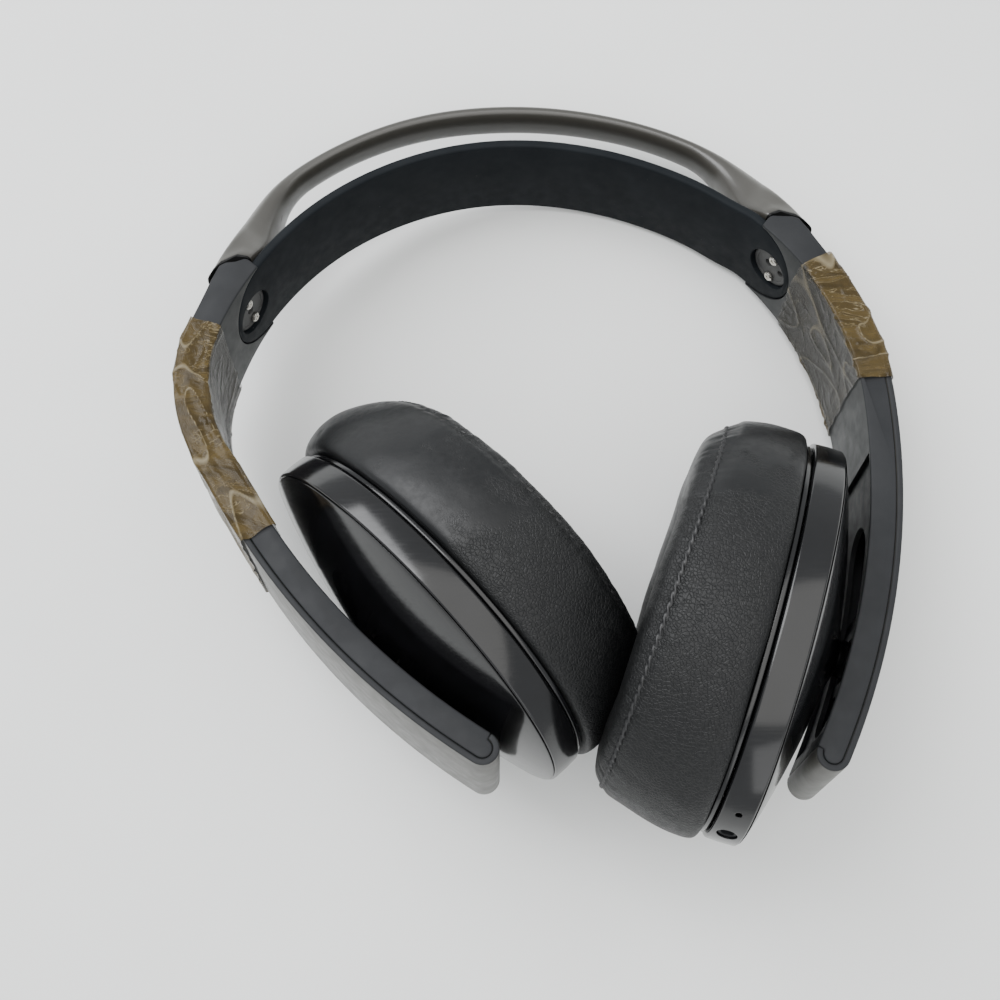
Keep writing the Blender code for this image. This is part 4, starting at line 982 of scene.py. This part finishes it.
def buildPad(side, place):
    facts = pad[side]
    around, along = 420, 110
    shape = bmesh.new()
    share = shape.verts.layers.float.new("grainShare")
    seamAt = 7.6 / 17
    rings = []
    for i in range(around):
        turn = 2 * math.pi * i / around
        ring = []
        for j in range(along + 1):
            way = j / along
            point = padPoint(side, turn, way)
            out = (
                padPoint(side, turn, min(1, way + 0.01)) - padPoint(side, turn, max(0, way - 0.01))
            ).cross(
                padPoint(side, turn + 0.01, way) - padPoint(side, turn - 0.01, way)).normalized()
            probe = Vector((point.x, point.y, point.z)) * 1000
            # foam lumps, then gathers that fade away from the seam
            lump = noise.noise(
                probe / 17 + Vector((facts["seed"], 0, 0))
            ) * 0.5 + noise.noise(probe / 6.5) * 0.13
            near = math.exp(-(((way - seamAt) / 0.085) ** 2))
            pleat = noise.noise(
                Vector((turn * 26, way * 5, facts["seed"]))
            ) + 0.5 * noise.noise(Vector((turn * 60, way * 9, 3)))
            edge = min(1, way / 0.06, (1 - way) / 0.06)
            point += out * (lump * edge + pleat * near * 0.38) * mm * -1
            vert = shape.verts.new(point)
            lengthways = math.cos(turn) * 56
            smooth = 1 / (1 + math.exp((lengthways - facts["grainFrom"]) / facts["grainTo"]))
            vert[share] = 0.15 + 0.75 * smooth
            ring.append(vert)
        rings.append(ring)
    for ring, following in zip(rings, rings[1:] + rings[:1]):
        for j in range(along):
            shape.faces.new((ring[j], ring[j + 1], following[j + 1], following[j]))
        shape.faces.new((ring[along], ring[0], following[0], following[along]))
    made = settle(
        f"leather_cushion_{side}", shape, [leather], f"cup_{side}", [f"cushion_{side}"], place, 80
    )
    return made


def buildPiping(side, place):
    # a twisted cord sewn under the skin at the seam
    shape = bmesh.new()
    count = 1500
    rings = []
    for i in range(count):
        turn = 2 * math.pi * i / count
        centre = padPoint(side, turn, 7.62 / 17)
        ahead = (
            padPoint(side, turn + 0.004, 7.62 / 17) - padPoint(side, turn - 0.004, 7.62 / 17)
        ).normalized()
        out = Vector((centre.x, centre.y, 0)).normalized()
        up = ahead.cross(out).normalized()
        slack = 0.12 * noise.noise(Vector((turn * 9, 2, 0))) * mm
        ring = []
        for k in range(10):
            around = 2 * math.pi * k / 10
            radius = (0.62 + 0.2 * math.cos(2 * around + turn * 118)) * mm
            ring.append(
                shape.verts.new(
                    centre + out * (pad[side]["cord"] + slack) + (
                        out * math.cos(around) + up * math.sin(around)
                    ) * radius
                )
            )
        rings.append(ring)
    for ring, following in zip(rings, rings[1:] + rings[:1]):
        for k in range(10):
            shape.faces.new((ring[k], ring[(k + 1) % 10], following[(k + 1) % 10], following[k]))
    settle(f"seam_piping_{side}", shape, [piping], f"cup_{side}", (), place, 80)


def buildCloth(side, place):
    low = cup["back"] + 10.0 * mm
    settle(
        f"woven_cloth_{side}",
        ovalShape(
            [(0, low), (22.2 * mm, low), (22.2 * mm, low + 0.5 * mm), (0, low + 0.6 * mm)], 96, False
        ),
        [clothBlack], f"cup_{side}", [f"speaker_cloth_{side}"], place
    )


for side in sides:
    here = cupFrame(side)
    buildShells(side, here)
    buildPad(side, here)
    buildPiping(side, here)
    buildCloth(side, here)
print("cups built")


# tape round the arms

tape = {
    "left": {"top": 22.5, "low": -9.0, "seed": 3, "slant": 0.5},
    "right": {"top": 25.5, "low": 0.5, "seed": 8, "slant": -0.8},
}


def tapeRing(side, angle):
    # a rounded rectangle round the arm, with the same number of points at every angle
    inner, outer = -0.35 * mm, arm["thick"] + 0.35 * mm
    share = max(0, (angle - arm["swellFrom"]) / (arm["seam"] - arm["swellFrom"]))
    outer += arm["swell"] * share * share
    share = min(1, max(0, (angle - arm["flareLow"]) / (arm["flareTop"] - arm["flareLow"])))
    half = (arm["width"] - (arm["width"] - arm["topWidth"]) * share) / 2 + 0.35 * mm
    soft = 0.5 * mm
    corners = []
    for depth, z, start in ((inner, half, 180), (outer, half, 90), (outer, -half, 0), (inner, -half, -90)):
        for k in range(4):
            turn = (start - 30 * k) * deg
            corners.append(
                (
                    depth - math.copysign(soft, depth - arm["thick"] / 2) + soft * math.cos(turn),
                    z - math.copysign(soft, z) + soft * math.sin(turn)
                )
            )
    ring = []
    for i, (a, b) in enumerate(zip(corners, corners[1:] + corners[:1])):
        steps = {3: 18, 7: 72, 11: 18, 15: 72}.get(i, 1)
        for k in range(steps):
            ring.append((a[0] + (b[0] - a[0]) * k / steps, a[1] + (b[1] - a[1]) * k / steps))
    return ring


def fold(probe):
    # 1 on a crease line, falling away on both sides of it
    warp = Vector((noise.noise(probe * 0.7), noise.noise(probe * 0.7 + Vector((5, 1, 2))), 0)) * 0.8
    return 1 - min(1, abs(noise.noise(probe + warp)) * 3.2)


def buildTape(side):
    facts = tape[side]
    stations = 150
    shape = bmesh.new()
    flag = shape.verts.layers.float.new("innerFace")
    mark = shape.verts.layers.float.new("crease")
    count = len(tapeRing(side, facts["top"] * deg))
    rings = []
    for i in range(stations + 1):
        way = i / stations
        ring = []
        for k in range(count):
            ragged = noise.noise(
                Vector((k * 0.09, facts["seed"], 0))
            ) * 0.5 + facts["slant"] * math.sin(2 * math.pi * k / count)
            angle = (
                facts["top"] + (facts["low"] - facts["top"]) * way + ragged * abs(2 * way - 1) ** 4
            ) * deg
            depth, z = tapeRing(side, angle)[k]
            probe = Vector((way * 2.6, k / count * 9, facts["seed"]))
            big, small = fold(probe), fold(probe * 2.3 + Vector((3, 3, 0)))
            crease = max(big**3, 0.6 * small**4)
            # marks the arm's inner faces, where the film creases less and where its material adds painted shade,
            # darker and greyer
            inside = 1.0 if depth < 0.6 * mm and abs(z) < arm["width"] / 2 - 1.5 * mm else 0.0
            lift = (0.15 + (0.55 if inside else 1.0) * crease) * 0.55 * mm
            middle = arm["thick"] / 2
            edge = abs(z) > arm["topWidth"] / 2 - 0.6 * mm and 0.6 * mm < depth < arm["thick"]
            if edge:
                z += math.copysign(lift, z)
            else:
                depth += math.copysign(lift, depth - middle)
            place = armPoint(side, angle, depth)
            vert = shape.verts.new((place.x, place.y, z))
            vert[flag] = inside
            vert[mark] = crease
            ring.append(vert)
        rings.append(ring)
    for ring, following in zip(rings, rings[1:]):
        for k in range(count):
            shape.faces.new((ring[k], ring[(k + 1) % count], following[(k + 1) % count], following[k]))
    settle(f"creased_tape_{side}", shape, [tapeFilm], "frame", [f"repair_tape_{side}"], lie, 40)


for side in sides:
    buildTape(side)
print("tape wrapped")


# the CAD pieces that stay, with their finishes

keepLooks([f"slide_bracket_{side}" for side in sides] + [f"gimbal_{side}" for side in sides], darkPlastic)
keepLooks(
    [
        f"baffle_{side}" for side in sides
    ] + [f"driver_{side}" for side in sides] + ["audio_jack", "link_cable"],
    darkPlastic
)
keepLooks(
    [f"tilt_pin_{side}" for side in sides] + [
        f"swivel_pin_{side}_{end}" for side in sides for end in ("front", "rear")
    ] + ["usb_socket"],
    steel
)
keepLooks(["band_spring"], blued)
keepLooks(["main_board"], boardGreen)
keepLooks(["battery"], foilSilver)
keepLooks(["status_light"], lens)
keepLooks(["mic_upper", "mic_lower"], anchorPlastic)
keepLooks(["power_slider", "surround_button", "volume_rocker", "chat_rocker", "mute_button"], darkPlastic)


# the table and the light

def buildFloor():
    shape = bmesh.new()
    bmesh.ops.create_grid(shape, x_segments=2, y_segments=2, size=3.0)
    mesh = bpy.data.meshes.new("table_top")
    shape.to_mesh(mesh)
    shape.free()
    made = bpy.data.objects.new("table_top", mesh)
    bpy.context.scene.collection.objects.link(made)
    # sprayed table laminate, for a soft pale ground with a faint mottle
    look, tree, shader = surface("pale_table_laminate")
    fill(tree, shader, {
        "Base Color": blendColour(
            tree, spread(tree, grain(tree, 9, 4), 0, 1), linear("#e6e7e6"), linear("#ecedec")
        ),
        "Roughness": 0.5,
        "Specular IOR Level": 0.3,
        "Normal": bump(tree, grain(tree, 900, 3), 0.02 * mm),
    })
    mesh.materials.append(look)


def addLight(name, place, target, size, power, colour="#ffffff", wide=None):
    data = bpy.data.lights.new(name, "AREA")
    data.shape = "RECTANGLE"
    data.size = size
    data.size_y = wide or size
    data.energy = power
    data.color = linear(colour)[:3]
    made = bpy.data.objects.new(name, data)
    made.location = place
    made.rotation_euler = (Vector(target) - Vector(place)).to_track_quat("-Z", "Y").to_euler()
    bpy.context.scene.collection.objects.link(made)


buildFloor()
addLight("window", (-0.7, 0.8, 1.3), (0, 0, 0), 1.1, 34, "#fcfdff", 1.5)
addLight("ceiling", (0.4, 0.0, 1.8), (0, 0, 0), 2.2, 27, "#fffdf9")
addLight("near_fill", (0.3, -1.3, 0.9), (0, 0, 0), 0.9, 4, "#ffffff")
world = bpy.data.worlds.new("room")
bpy.context.scene.world = world
world.use_nodes = True
ambient = world.node_tree.nodes["Background"]
ambient.inputs["Color"].default_value = linear("#dfe2e4")
ambient.inputs["Strength"].default_value = 1.16
print("table and light set")
